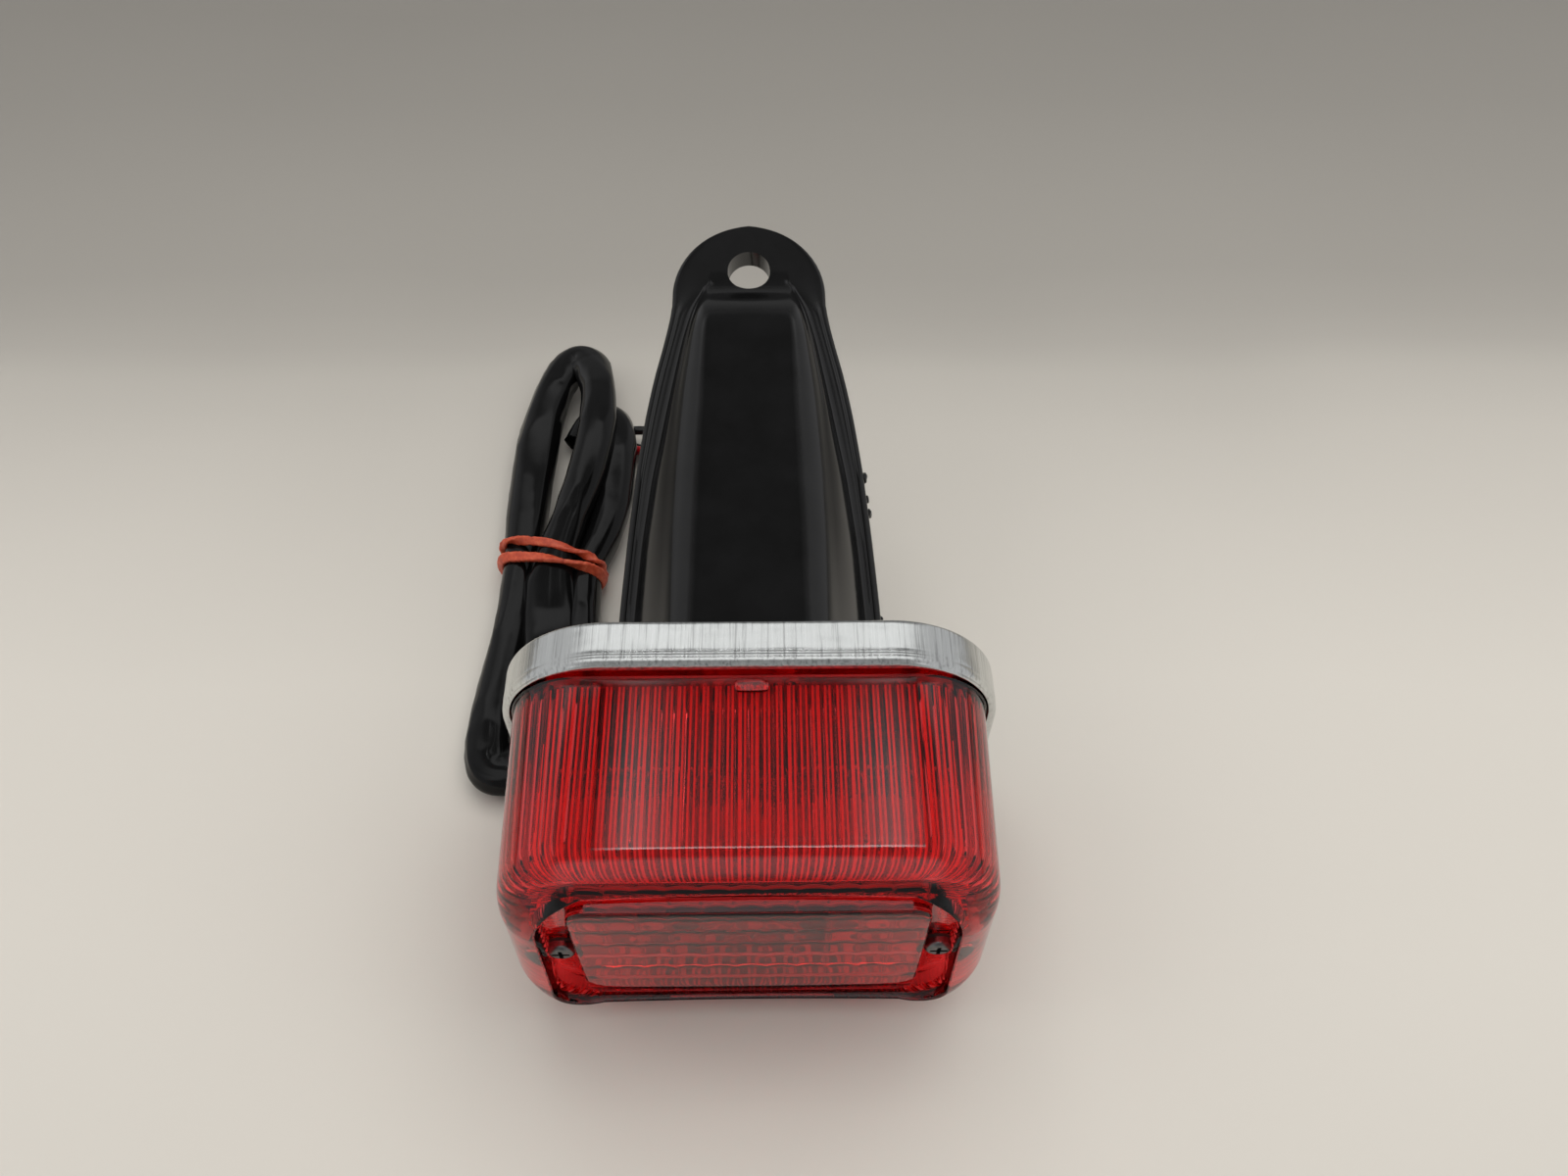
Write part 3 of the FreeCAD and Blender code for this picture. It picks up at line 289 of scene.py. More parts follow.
M = {}
M["zinc"] = mat_zinc("zinc_plate")
M["zinc_plain"] = mat_zinc("zinc_plain", (0.74, 0.75, 0.74), False)
M["black"] = mat_black_gloss("black_moulding", 0.0040, 0.12, 0.42, True)
M["sleeve"] = mat_black_gloss("sleeve_pvc", 0.0030, 0.10, 0.20)
M["pvc_black"] = mat_black_gloss("pvc_black", 0.004, 0.2, 0.4)
M["lens"] = mat_lens("red_lens")
M["pillow"] = mat_lens("red_lens_pillows", (0.85, 0.02, 0.03), 0.03)
for n_ in M["pillow"].node_tree.nodes:
    if n_.type == "BSDF_PRINCIPLED":
        n_.inputs["Specular IOR Level"].default_value = 0.22
# paler, cloudier red for the flute flanks: a painted highlight standing in for the bright lines of light in the lens
fm, fnt, fb = principled("lens_flute_flanks", (0.98, 0.10, 0.09), 0.28)
fb.inputs["Transmission Weight"].default_value = 0.14
fb.inputs["IOR"].default_value = 1.49
fn_ = noise_tex(fnt, coords(fnt), 700.0, 3.0)
L(fnt, ramp(fnt, fn_, [(0.3, (1.0, 0.10, 0.095)), (0.7, (1.0, 0.19, 0.175))]), fb.inputs["Base Color"])
M["flute"] = fm
M["window"] = mat_glass("clear_window", (0.93, 0.94, 0.93), 0.12, 1.49, True)
M["bulb"] = mat_glass("bulb_glass", (0.98, 0.98, 0.98), 0.0, 1.5)
M["brass"] = mat_plain("brass_cap", (0.60, 0.47, 0.25), 0.3, 1.0, 500.0, 0.15)
M["nickel"] = mat_plain("nickelled", (0.62, 0.60, 0.56), 0.25, 1.0, 500.0, 0.12)
M["solder"] = mat_plain("solder", (0.55, 0.55, 0.55), 0.35, 1.0, 900.0, 0.2, 0.4)
M["tungsten"] = mat_plain("filament_wire", (0.30, 0.30, 0.31), 0.35, 1.0, 900.0, 0.15)
M["phenolic"] = mat_plain("phenolic_board", (0.16, 0.06, 0.025), 0.5, 0.0, 700.0, 0.35, 0.25)
M["spring"] = mat_plain("spring_steel", (0.50, 0.50, 0.51), 0.28, 1.0, 700.0, 0.15)
M["screw"] = mat_plain("screw_steel", (0.15, 0.15, 0.15), 0.3, 1.0, 800.0, 0.25, 0.2)
M["fibre"] = mat_plain("fibre_washer", (0.03, 0.026, 0.022), 0.8, 0.0, 900.0, 0.4, 0.4)
M["foam"] = mat_plain("foam_gasket", (0.012, 0.012, 0.012), 0.95, 0.0, 1400.0, 0.5, 0.8)
M["rubber"] = mat_plain("grommet_rubber", (0.012, 0.012, 0.012), 0.6, 0.0, 600.0, 0.3, 0.2)
M["red_pvc"] = mat_plain("pvc_red", (0.33, 0.008, 0.012), 0.25, 0.0, 300.0, 0.2, 0.08)
M["boot"] = mat_glass("connector_boot", (0.86, 0.86, 0.80), 0.25, 1.45, True)
M["tin"] = mat_plain("tinned_bullet", (0.66, 0.64, 0.58), 0.3, 1.0, 700.0, 0.15, 0.2)


def mat_band():
    mat, nt, b = principled("rubber_band_red", (0.5, 0.07, 0.025), 0.38)
    b.inputs["Subsurface Weight"].default_value = 0.12
    b.inputs["Subsurface Radius"].default_value = (0.002, 0.0006, 0.0003)
    b.inputs["Subsurface Scale"].default_value = 0.5
    n = noise_tex(nt, coords(nt), 900.0, 4.0, 0.6)
    L(nt, ramp(nt, n, [(0.3, (0.34, 0.035, 0.014)), (0.55, (0.52, 0.075, 0.028)), (0.8, (0.66, 0.17, 0.08))]), b.inputs["Base Color"])
    L(nt, map_range(nt, n, 0.3, 0.6), b.inputs["Roughness"])
    bump(nt, b, n, 0.3, 0.0002)
    return mat


M["band"] = mat_band()


# ============================================================ cords
def nurbs_curve(name, pts, radius=None, mat=None, res=12):
    cu_ = bpy.data.curves.new(name, "CURVE")
    cu_.dimensions = "3D"
    sp = cu_.splines.new("NURBS")
    sp.points.add(len(pts) - 1)
    for q, p in zip(sp.points, pts):
        q.co = (*P(*p), 1.0)
    sp.order_u = 3
    sp.use_endpoint_u = True
    cu_.resolution_u = res
    if radius:
        cu_.bevel_depth = radius / 1000.0
        cu_.bevel_resolution = 5
        cu_.use_fill_caps = True
    o = link(bpy.data.objects.new(name, cu_))
    if mat:
        cu_.materials.append(mat)
    return o


def read_line(pts, res=16):
    """Points read from the route's own NURBS spline."""
    o = nurbs_curve("route_probe", pts, None, None, res)
    me = bpy.data.meshes.new_from_object(o)
    out = [v.co.copy() for v in me.vertices]
    order = list(range(len(out)))
    data = o.data
    bpy.data.objects.remove(o)
    bpy.data.curves.remove(data)
    bpy.data.meshes.remove(me)
    return [out[i] for i in order]


def line_length(pts):
    return sum((b_ - a_).length for a_, b_ in zip(pts[:-1], pts[1:]))


LEADS = {
    "lead_black": [(1.5, 33.9, 28), (1.6, 41.6, 27.4), (1.4, 49.6, 23.5), (0.6, 57.6, 17.0), (-0.5, 66.6, 9.8), (-2.6, 76.6, 5.0),
                   (-6.2, 86.6, 3.0), (-12.0, 95.0, 3.2), (-20.0, 100.4, 4.2), (-28.9, 101.8, 4.4), (-37.0, 101.2, 3.6)],
    "lead_red": [(-1.5, 33.9, 28), (-1.5, 40.6, 27.0), (-1.8, 48.6, 22.4), (-2.6, 56.6, 15.6), (-4.2, 65.4, 9.4), (-7.4, 74.2, 6.0),
                 (-12.2, 82.6, 5.0), (-17.6, 89.6, 4.8), (-23.0, 93.8, 4.2), (-29.5, 96.4, 2.6), (-37.0, 99.2, 2.4)],
    "lead_earth": [(-16.6, 19.8, 13.1), (-16.4, 27.5, 12.2), (-16.0, 36.5, 8.4), (-15.4, 45.0, 5.0), (-14.8, 54.0, 2.8), (-14.9, 64.0, 1.7),
                   (-15.8, 75.0, 1.35), (-18.0, 86.0, 1.4), (-22.6, 94.4, 1.5), (-28.9, 98.8, 1.6), (-37.0, 100.0, 1.6)],
}
SLEEVE = [(-42.4, 97.6, 3.4), (-40.6, 103.4, 3.8), (-36.4, 105.0, 5.2), (-33.2, 99.6, 7.0), (-32.6, 89.5, 6.4), (-33.0, 77.5, 4.8),
          (-35.0, 66.5, 4.4), (-38.0, 57.5, 4.3), (-37.6, 46.0, 4.0), (-37.2, 33.5, 3.8), (-39.2, 22.5, 3.8), (-43.4, 14.0, 3.8),
          (-48.8, 6.4, 3.8), (-54.2, 7.2, 3.9), (-54.9, 16.5, 3.9), (-53.8, 30.0, 3.9), (-52.6, 44.0, 4.0), (-53.0, 57.5, 4.3),
          (-53.0, 72.0, 4.4), (-53.2, 88.0, 4.4), (-52.4, 103.0, 4.6), (-50.2, 116.0, 5.2), (-45.6, 125.2, 6.2), (-41.2, 121.6, 7.6),
          (-38.2, 110.5, 9.6), (-37.4, 97.0, 10.6), (-39.0, 84.0, 9.6), (-42.2, 70.5, 7.8), (-45.4, 57.5, 6.8), (-44.8, 44.5, 5.4),
          (-43.6, 33.5, 5.8), (-40.4, 26.6, 10.2), (-33.8, 23.8, 11.8), (-25.6, 24.0, 7.6), (-17.0, 26.0, 4.6), (-8.0, 29.0, 4.0)]
TAILS = {
    "tail_red": [(-8.25, 30.93, 3.49), (-1.4, 34.2, 3.0), (3.0, 40.5, 2.4), (3.8, 49.5, 2.4), (3.2, 58.5, 2.4)],
    "tail_black": [(-7.62, 29.13, 5.29), (-0.2, 32.0, 4.4), (6.6, 37.0, 2.8), (9.6, 46.0, 2.4), (9.3, 55.5, 2.4)],
    "tail_earth": [(-7.0, 27.34, 3.49), (1.4, 29.4, 2.9), (10.2, 33.4, 2.4), (15.2, 42.0, 2.4), (15.4, 52.0, 2.4)],
}
cords = {}
for name, pts in LEADS.items():
    o = nurbs_curve("wire_" + name, pts, 1.1, M["red_pvc"] if name == "lead_red" else M["pvc_black"])
    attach(o, "root")
    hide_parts(name)
    round(line_length(read_line(pts)), 4)
for name, pts in TAILS.items():
    col = name[5:]
    o = nurbs_curve("wire_" + name, pts, 1.1, M["red_pvc"] if col == "red" else M["pvc_black"])
    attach(o, "root")
    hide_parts(name)
    # bullet connector: clear boot over a crimped bullet, in the CAD node's place
    a_, b_ = Vector(pts[-2]), Vector(pts[-1])
    d_ = (b_ - a_).normalized()
    qx = d_.cross(Vector((0, 0, 1))).normalized()
    qz = qx.cross(d_)

    def ring_at(t_, r_, n_=28):
        return [P(*(b_ + d_ * t_ + qx * (r_ * math.cos(k * 2 * math.pi / n_)) + qz * (r_ * math.sin(k * 2 * math.pi / n_)))) for k in range(n_)]

    boot = loops_object("boot_" + col, [ring_at(t_, r_) for t_, r_ in [(-0.3, 1.25), (-0.1, 1.5), (0.4, 1.62), (2.0, 1.65), (3.2, 2.1), (4.0, 2.26), (12.2, 2.26), (12.8, 2.2), (13.0, 2.05), (12.9, 1.75), (9.0, 1.7), (4.2, 1.7), (3.0, 1.35), (-0.2, 1.2)]], sharp=40, close=True)
    put(boot, M["boot"])
    metal = loops_object("bullet_pin_" + col, [ring_at(t_, r_) for t_, r_ in [(2.5, 0.3), (2.6, 1.25), (5.2, 1.3), (5.6, 1.62), (7.4, 1.5), (9.0, 1.62), (13.2, 1.62), (13.6, 1.95), (15.0, 1.98), (15.4, 1.6), (15.9, 1.55), (16.4, 1.9), (18.6, 1.98), (19.8, 1.8), (20.5, 1.3), (20.9, 0.6), (20.98, 0.1)]], True, True, sharp=30)
    put(metal, M["tin"])
    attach(boot, "root")
    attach(metal, "root")
    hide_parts("bullet_" + col)
    round(line_length(read_line(pts)), 4)

# sleeve: soft thin-walled tube, flattened and creased where it is folded and tied
line = read_line(SLEEVE, 14)
seg = [0.0]
for a_, b_ in zip(line[:-1], line[1:]):
    seg.append(seg[-1] + (b_ - a_).length)
ctl = [P(*p) for p in SLEEVE]
# arc length at which the line passes nearest to each control point
at_ctl = []
k0 = 0
for p in ctl:
    best = min(range(k0, len(line)), key=lambda i: (line[i] - p).length if i - k0 < 60 else 1e9)
    at_ctl.append(seg[best])
    k0 = best
# half width, half height (mm) at control points
WH = {0: (4.4, 3.3), 1: (4.6, 3.0), 2: (4.8, 2.9), 3: (4.7, 3.2), 4: (4.6, 3.7), 5: (4.4, 3.8), 6: (4.1, 3.8), 7: (3.5, 3.8), 8: (3.5, 3.6), 9: (3.8, 3.6), 10: (4.2, 3.5),
      11: (4.7, 3.2), 12: (5.0, 3.2), 13: (5.0, 3.3), 14: (4.6, 3.6), 15: (4.3, 3.7), 16: (4.0, 3.8), 17: (3.6, 3.9), 18: (4.6, 3.8), 19: (5.1, 3.5), 20: (4.9, 3.6),
      21: (4.6, 3.7), 22: (5.0, 2.6), 23: (4.9, 2.6), 24: (4.3, 3.6), 25: (4.5, 3.5), 26: (4.5, 3.6), 27: (4.1, 3.7), 28: (4.9, 3.0), 29: (6.2, 2.5), 30: (6.0, 2.6),
      31: (4.4, 3.3), 32: (4.2, 3.5), 33: (4.1, 3.6), 34: (4.0, 3.7), 35: (4.0, 3.8)}
wa = np.interp(seg, at_ctl, [WH[i][0] for i in range(len(SLEEVE))])
ha = np.interp(seg, at_ctl, [WH[i][1] for i in range(len(SLEEVE))])
NS = 48
rows = []
fold_at = [at_ctl[22], at_ctl[13], at_ctl[2]]
for i, p in enumerate(line):
    t_ = (line[min(i + 1, len(line) - 1)] - line[max(i - 1, 0)]).normalized()
    side = t_.cross(Vector((0, 0, 1))).normalized()
    upv = side.cross(t_).normalized()
    w_, h_ = wa[i] / 1000, ha[i] / 1000
    loop = []
    for j in range(NS):
        a = 2 * math.pi * j / NS
        ca, sa = math.cos(a), math.sin(a)
        e = 0.86
        x = math.copysign(abs(ca) ** e, ca) * w_
        z = math.copysign(abs(sa) ** e, sa) * h_
        # soft creases near the folds, and slow dents elsewhere
        f_ = sum(math.exp(-((seg[i] - q) / 0.011) ** 2) for q in fold_at)
        nz = noise.noise(Vector((seg[i] * 95.0, ca * 0.9, sa * 0.9 + 5.0)))
        slow = noise.noise(Vector((seg[i] * 60.0, ca * 0.9, sa * 0.9)))
        rdg = 1.0 - abs(noise.noise(Vector((seg[i] * 42.0 + 9.0, ca * 1.1, sa * 1.1 + 2.0)))) * 2.0
        k = 1.0 + 0.05 * slow + 0.05 * max(0.0, rdg) ** 3 - 0.20 * f_ * abs(nz)
        q = p + side * (x * k) + upv * (z * k)
        q.z = max(q.z, 0.00012)
        loop.append(q)
    rows.append(loop)


def inner(loop, centre, k, shift):
    return [centre + (q - centre) * k + shift for q in loop]


t0 = (line[1] - line[0]).normalized()
t1 = (line[-1] - line[-2]).normalized()
rows = ([inner(rows[0], line[0], 0.80, t0 * 0.006), inner(rows[0], line[0], 0.84, t0 * 0.0004), inner(rows[0], line[0], 0.93, -t0 * 0.0002)] + rows +
        [inner(rows[-1], line[-1], 0.93, t1 * 0.0002), inner(rows[-1], line[-1], 0.84, -t1 * 0.0004), inner(rows[-1], line[-1], 0.80, -t1 * 0.006)])
sleeve = loops_object("sleeve", rows, True, True, sharp=50)
put(sleeve, M["sleeve"])
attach(sleeve, "root")
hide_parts("harness_bundle", "sleeve_tail")

# rubber band: two turns round the bundle, twisted
def band(name, left_y, right_y, phase, twist, wide):
    # closed outline round the strands in x, z, the turn leaning from left_y to right_y
    pts2 = [(-57.6, 4.2), (-56.4, 8.2), (-52.6, 9.3), (-46.0, 10.6), (-39.6, 9.4), (-35.0, 8.2), (-33.4, 4.2), (-34.8, 0.95), (-45.0, 0.9), (-56.0, 0.95)]
    cu_ = bpy.data.curves.new(name + "_line", "CURVE")
    cu_.dimensions = "3D"
    sp = cu_.splines.new("NURBS")
    sp.points.add(len(pts2) - 1)
    for q, (x, z) in zip(sp.points, pts2):
        k = (x + 57.6) / (57.6 - 33.4)
        y = left_y + (right_y - left_y) * k + (0.5 * math.sin(3 * k + phase))
        q.co = (*P(x, y, z), 1.0)
    sp.order_u = 3
    sp.use_cyclic_u = True
    cu_.resolution_u = 24
    ob = link(bpy.data.objects.new(name + "_line", cu_))
    me = bpy.data.meshes.new_from_object(ob)
    pts = [v.co.copy() for v in me.vertices]
    bpy.data.objects.remove(ob)
    bpy.data.meshes.remove(me)
    n = len(pts)
    rows_ = []
    for i in range(n):
        t_ = (pts[(i + 1) % n] - pts[i - 1]).normalized()
        side_ = t_.cross(Vector((0, 1, 0))).normalized()
        out_ = side_.cross(t_).normalized()
        tw = phase * 0.3 + math.sin(i * 2 * math.pi * 2 / n + phase) * 0.35 * twist + (i * 2 * math.pi * twist / n)
        loop_ = []
        for j in range(20):
            a = 2 * math.pi * j / 20
            ca, sa = math.cos(a), math.sin(a)
            x = math.copysign(abs(ca) ** 0.5, ca) * wide * (1.0 + 0.16 * noise.noise(Vector((i * 0.35, phase, 0.0))))
            z = math.copysign(abs(sa) ** 0.5, sa) * 0.00058
            # section turned with the twist
            xr = x * math.cos(tw) - z * math.sin(tw)
            zr = x * math.sin(tw) + z * math.cos(tw)
            q = pts[i] + side_ * xr + out_ * zr
            q.z = max(q.z, 0.0001)
            loop_.append(q)
        rows_.append(loop_)
    return loops_object(name, rows_, close=True, sharp=60)


b1 = band("rubber_band_a", 63.6, 57.6, 0.4, 3, 0.00105)
b2 = band("rubber_band_b", 58.6, 55.4, 2.2, 1, 0.00118)
for o in (b1, b2):
    put(o, M["band"])
    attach(o, "root")
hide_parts("rubber_band")


# ============================================================ rounded rectangle loops
def rr(hw, hh, r, nc=24, nx=30, nz=16):
    """Closed loop of (x, z), anticlockwise from the right side's middle, evenly counted."""
    r = max(0.05, min(r, hw - 0.01, hh - 0.01))
    out = []
    a, b = hw - r, hh - r

    def seg_(p, q, n):
        for i in range(n):
            t = i / n
            out.append((p[0] + (q[0] - p[0]) * t, p[1] + (q[1] - p[1]) * t))

    def arc(cx, cz, a0, n):
        for i in range(n):
            t = a0 + (math.pi / 2) * i / n
            out.append((cx + r * math.cos(t), cz + r * math.sin(t)))
    seg_((hw, -b), (hw, b), nz)
    arc(a, b, 0, nc)
    seg_((a, hh), (-a, hh), nx)
    arc(-a, b, math.pi / 2, nc)
    seg_((-hw, b), (-hw, -b), nz)
    arc(-a, -b, math.pi, nc)
    seg_((-a, -hh), (a, -hh), nx)
    arc(a, -b, 3 * math.pi / 2, nc)
    return out


ZC = 27.15

# ============================================================ base pan
PW, PH, PR, PD = 45.0, 27.15, 20.6, 9.2
prof = []
for ins in (14.0, 11.0, 8.0, 5.0, 3.0, 1.8):
    prof.append((ins, PD))
for k in range(7):
    a = math.pi / 2 * k / 6
    prof.append((0.95 - 0.95 * math.sin(a), PD - 0.95 + 0.95 * math.cos(a)))
for y in np.linspace(PD - 1.2, 2.95, 14):
    prof.append((0.0, float(y)))
prof += [(0.02, 2.75), (0.07, 2.55), (0.10, 2.35), (0.07, 2.15), (0.03, 1.95)]
for k in range(1, 15):
    a = math.pi / 2 * k / 14 * 0.95
    prof.append((0.03 + 1.75 * (1 - math.cos(a)), 1.82 - 1.78 * math.sin(a)))
prof += [(1.84, 0.03), (1.92, 0.25), (1.86, 0.9), (1.5, 1.6), (0.95, 2.6), (0.8, 3.6), (0.8, 6.0), (0.95, 7.6), (1.5, 8.25), (3.0, 8.4), (8.0, 8.4), (11.0, 8.4), (14.0, 8.4)]
loops = []
for ins, y in prof:
    mouth = min(1.0, max(0.0, (ins - 0.5) / 1.3)) if y < 1.2 else 0.0
    base = rr(PW - ins, PH - ins, (PR - ins) * (1 - mouth) + 16.1 * mouth, 40, 90, 24)
    lp = []
    for x, z in base:
        dx = 0.0
        if ins == 0.0:
            dx = 0.03 * noise.noise(Vector((x * 0.16, y * 0.5, z * 0.16))) + 0.03 * math.exp(-((y - 7.4) / 0.45) ** 2) * noise.noise(Vector((x * 0.7, 3.0, z * 0.7)))
        lp.append(P(x * (1 + dx / PW), y, ZC + z * (1 + dx / PH)))
    loops.append(lp)
# floor of the pressing, with the bulb holder's hole
inner_b = rr(PW - 14.0, PH - 14.0, PR - 14.0, 40, 90, 24)


def hole_loop(y):
    out = []
    for x, z in inner_b:
        a = math.atan2(z - 0.85, x)
        out.append(P(9.15 * math.cos(a), y, 28.0 + 9.15 * math.sin(a)))
    return out


loops.append(hole_loop(8.4))
loops.append(hole_loop(9.2))
pan = loops_object("pan_pressing", loops, close=True, sharp=40)
put(pan, M["zinc"])
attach(pan, "root")
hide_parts("base_pan")

# ============================================================ lens
NC, NX, NZ = 100, 300, 90
TAN3 = math.tan(math.radians(3.0))


def sect(y):
    """Half width, half height of the lens's outer section at depth y."""
    d = min(0.0, y)
    return 42.72 + d * 0.0245, 23.70 + d * 0.0262


def lens_rr(hw, hh, r):
    return rr(hw, hh, r, NC, NX, NZ)


base0 = lens_rr(42.72, 23.70, 13.8)
base1 = lens_rr(41.72, 22.70, 12.8)
NRM = [(p[0] - q[0], p[1] - q[1]) for p, q in zip(base0, base1)]
arc_ = [0.0]
b2_ = lens_rr(40.4, 21.3, 11.4)
for p, q in zip(b2_, b2_[1:] + b2_[:1]):
    arc_.append(arc_[-1] + math.hypot(p[0] - q[0], p[1] - q[1]))
arc_tot = arc_.pop()
NFL = round(arc_tot / 2.08)
D0 = 43.5
ROUND = 11.2


def raised(loop_, dz):
    return [(x, z + dz) for x, z in loop_]


recess = raised(lens_rr(34.4, 19.35, 8.0), 0.75)
recess_in = raised(lens_rr(33.9, 19.0, 7.7), 0.75)
panel_o = raised(lens_rr(29.25, 18.15, 4.0), 0.3)
panel_f = raised(lens_rr(28.9, 17.8, 3.8), 0.3)
panel_ff = raised(lens_rr(28.3, 17.2, 3.4), 0.3)
outer = []
# the skirt inside the pan, then the step at the pan's mouth
for y, o_ in [(5.4, -0.25), (5.4, -0.05), (5.2, 0.0), (1.6, 0.0), (0.6, 0.0), (0.15, 0.0), (-0.10, -0.04), (-0.26, -0.16), (-0.38, -0.30), (-0.6, -0.34)]:
    hw, hh = sect(y)
    outer.append([P(hx + nx_ * o_, y, ZC + hz + nz_ * o_) for (hx, hz), (nx_, nz_) in zip(lens_rr(hw, hh, 13.8), NRM)])
NW = 26
for k in range(1, NW + 1):
    f = k / NW
    ym = -0.6 - f * (D0 - ROUND - 0.6)
    hw, hh = sect(ym)
    lp = []
    for (x, z), (nx_, nz_) in zip(lens_rr(hw, hh, 13.8), NRM):
        y = ym + TAN3 * z * f
        lp.append(P(x - 0.34 * nx_, y, ZC + z - 0.34 * nz_))
    outer.append(lp)
hwR, hhR = sect(-(D0 - ROUND))
A_ = [(x - 0.34 * n_[0], z - 0.34 * n_[1]) for (x, z), n_ in zip(lens_rr(hwR, hhR, 13.8), NRM)]
NRD = 16
rim_y = []
for k in range(1, NRD + 1):
    s_ = k / NRD
    lp = []
    for (ax, az), (rx, rz) in zip(A_, recess):
        dist = math.hypot(rx - ax, rz - az)
        amax = math.acos(max(-1.0, 1 - dist / ROUND))
        a = amax * s_
        ins = ROUND * (1 - math.cos(a))
        k_ = ins / dist
        x, z = ax + (rx - ax) * k_, az + (rz - az) * k_
        y = -(D0 - ROUND + ROUND * math.sin(a) - TAN3 * z)
        if k == NRD:
            rim_y.append(y)
        lp.append(P(x, y, ZC + z))
    outer.append(lp)
FLOOR = -38.0


def step(loop_, y_of):
    return [P(x, y_of(j), ZC + z) for j, (x, z) in enumerate(loop_)]


def lerp2(a, b, t):
    return [(p[0] + (q[0] - p[0]) * t, p[1] + (q[1] - p[1]) * t) for p, q in zip(a, b)]


# soft bead at the rim, the recess wall, its floor, the raised panel
outer.append(step(lerp2(recess, recess_in, 0.35), lambda j: rim_y[j] - 0.05))
outer.append(step(lerp2(recess, recess_in, 0.75), lambda j: min(rim_y[j] + 0.12, -37.9)))
outer.append(step(recess_in, lambda j: min(rim_y[j] + 0.5, FLOOR + 0.15)))
outer.append(step(lerp2(recess_in, panel_o, 0.06), lambda j: FLOOR + 0.05))
outer.append(step(lerp2(recess_in, panel_o, 0.15), lambda j: FLOOR))
outer.append(step(lerp2(recess_in, panel_o, 0.5), lambda j: FLOOR))
outer.append(step(lerp2(recess_in, panel_o, 0.85), lambda j: FLOOR))
outer.append(step(lerp2(recess_in, panel_o, 0.96), lambda j: FLOOR - 0.05))
outer.append(step(panel_o, lambda j: FLOOR - 0.3))
outer.append(step(lerp2(panel_o, panel_f, 0.4), lambda j: -40.2))
outer.append(step(panel_f, lambda j: -40.55))
outer.append(step(lerp2(panel_f, panel_ff, 0.4), lambda j: -40.72))
outer.append(step(panel_ff, lambda j: -40.78))
for k_ in (0.8, 0.6, 0.4, 0.2, 0.02):
    outer.append([P(x * k_, -40.78, ZC + z * k_) for x, z in panel_ff])

# inner surface: longitudinal flutes on the walls, pillow optics behind the panel
inner_l = []
WALL = 2.3
AMP = 0.5


def inner_base(y):
    hw, hh = sect(0)
    i = WALL + (-min(0.0, y)) * 0.045
    return hw - i, hh - i, max(3.0, 13.8 - i)


YF = 35.4
RI = 6.5
for y in [5.4, 3.0, 0.6, 0.0, -0.6, -1.2, -1.9, -3.2] + [float(q) for q in np.linspace(-6, -(YF - RI), 14)]:
    hw, hh, r = inner_base(y)
    lp = []
    fade = min(1.0, max(0.0, (-y - 0.5) / 1.2))
    for j, ((x, z), (nx_, nz_)) in enumerate(zip(lens_rr(hw, hh, r), NRM)):
        ph = NFL * arc_[j] / arc_tot
        h = AMP * fade * (abs(math.sin(math.pi * ph)) - 0.35)
        lp.append(P(x - nx_ * h, y, ZC + z - nz_ * h))
    inner_l.append(lp)
hw, hh, r = inner_base(-(YF - RI))
Ai = lens_rr(hw, hh, r)
Ri = lens_rr(31.0, 18.4, 5.0)


def pillow(x, z):
    """Depth of the pillow optics, 11 across and 7 down, inside the panel."""
    px, pz = 57.0 / 11, 36.4 / 7
    u = (x / px) % 1.0 if True else 0
    u = ((x / px + 0.5) % 1.0) - 0.5
    w = ((z / pz + 0.5) % 1.0) - 0.5
    return 0.62 * (math.sqrt(max(0.0, 1 - 1.75 * (u * u + w * w))) - 0.55)


for k in range(1, 11):
    s_ = k / 10
    lp = []
    for j, ((ax, az), (rx, rz), (nx_, nz_)) in enumerate(zip(Ai, Ri, NRM)):
        dist = math.hypot(rx - ax, rz - az)
        a = math.pi / 2 * s_
        k_ = 1 - math.cos(a)
        x, z = ax + (rx - ax) * k_, az + (rz - az) * k_
        y = -(YF - RI + RI * math.sin(a))
        ph = NFL * arc_[j] / arc_tot
        h = AMP * max(0.0, 1 - s_ * 1.25) * (abs(math.sin(math.pi * ph)) - 0.35)
        lp.append(P(x - nx_ * h, y, ZC + z - nz_ * h))
    inner_l.append(lp)
for k in range(1, 75):
    k_ = 1 - k / 75
    lp = []
    for x, z in Ri:
        xx, zz = x * k_, z * k_
        e = min(1.0, max(0.0, (28.6 - abs(xx)) / 0.5)) * min(1.0, max(0.0, (18.2 - abs(zz)) / 0.5))
        lp.append(P(xx, -YF + e * (pillow(xx, zz)) - (1 - e) * 0.0, ZC + zz))
    inner_l.append(lp)
all_loops = inner_l[::-1] + outer
lens = loops_object("lens_shell", all_loops, True, True, sharp=28)
put(lens, M["lens"])
lens.data.materials.append(M["flute"])
# the flanks of each flute get the paler, cloudier red: a painted highlight
NP_ = len(base0)
NI = len(inner_l)
flank_highlight_faces = [0] * len(lens.data.polygons)
for r_ in range(NI - 1):
    k_in = NI - 1 - r_
    if k_in > 31 or k_in < 6:
        continue
    for j in range(NP_):
        fr_ = (NFL * (arc_[j] + arc_[min(j + 1, NP_ - 1)]) * 0.5 / arc_tot) % 1.0
        if 0.20 < fr_ < 0.40 or 0.60 < fr_ < 0.80:
            flank_highlight_faces[r_ * NP_ + j] = 1
# no painted highlight on the flanks near the lens's ends or on its rear rounding
for pi_, pl_ in enumerate(lens.data.polygons):
    if flank_highlight_faces[pi_] == 1 and (abs(pl_.center.x) > 0.034 or pl_.center.y < (-(D0 - ROUND) - 0.3 * ROUND + SH) / 1000.0):
        flank_highlight_faces[pi_] = 0
lens.data.polygons.foreach_set("material_index", flank_highlight_faces)
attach(lens, "lens")
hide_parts("lens")

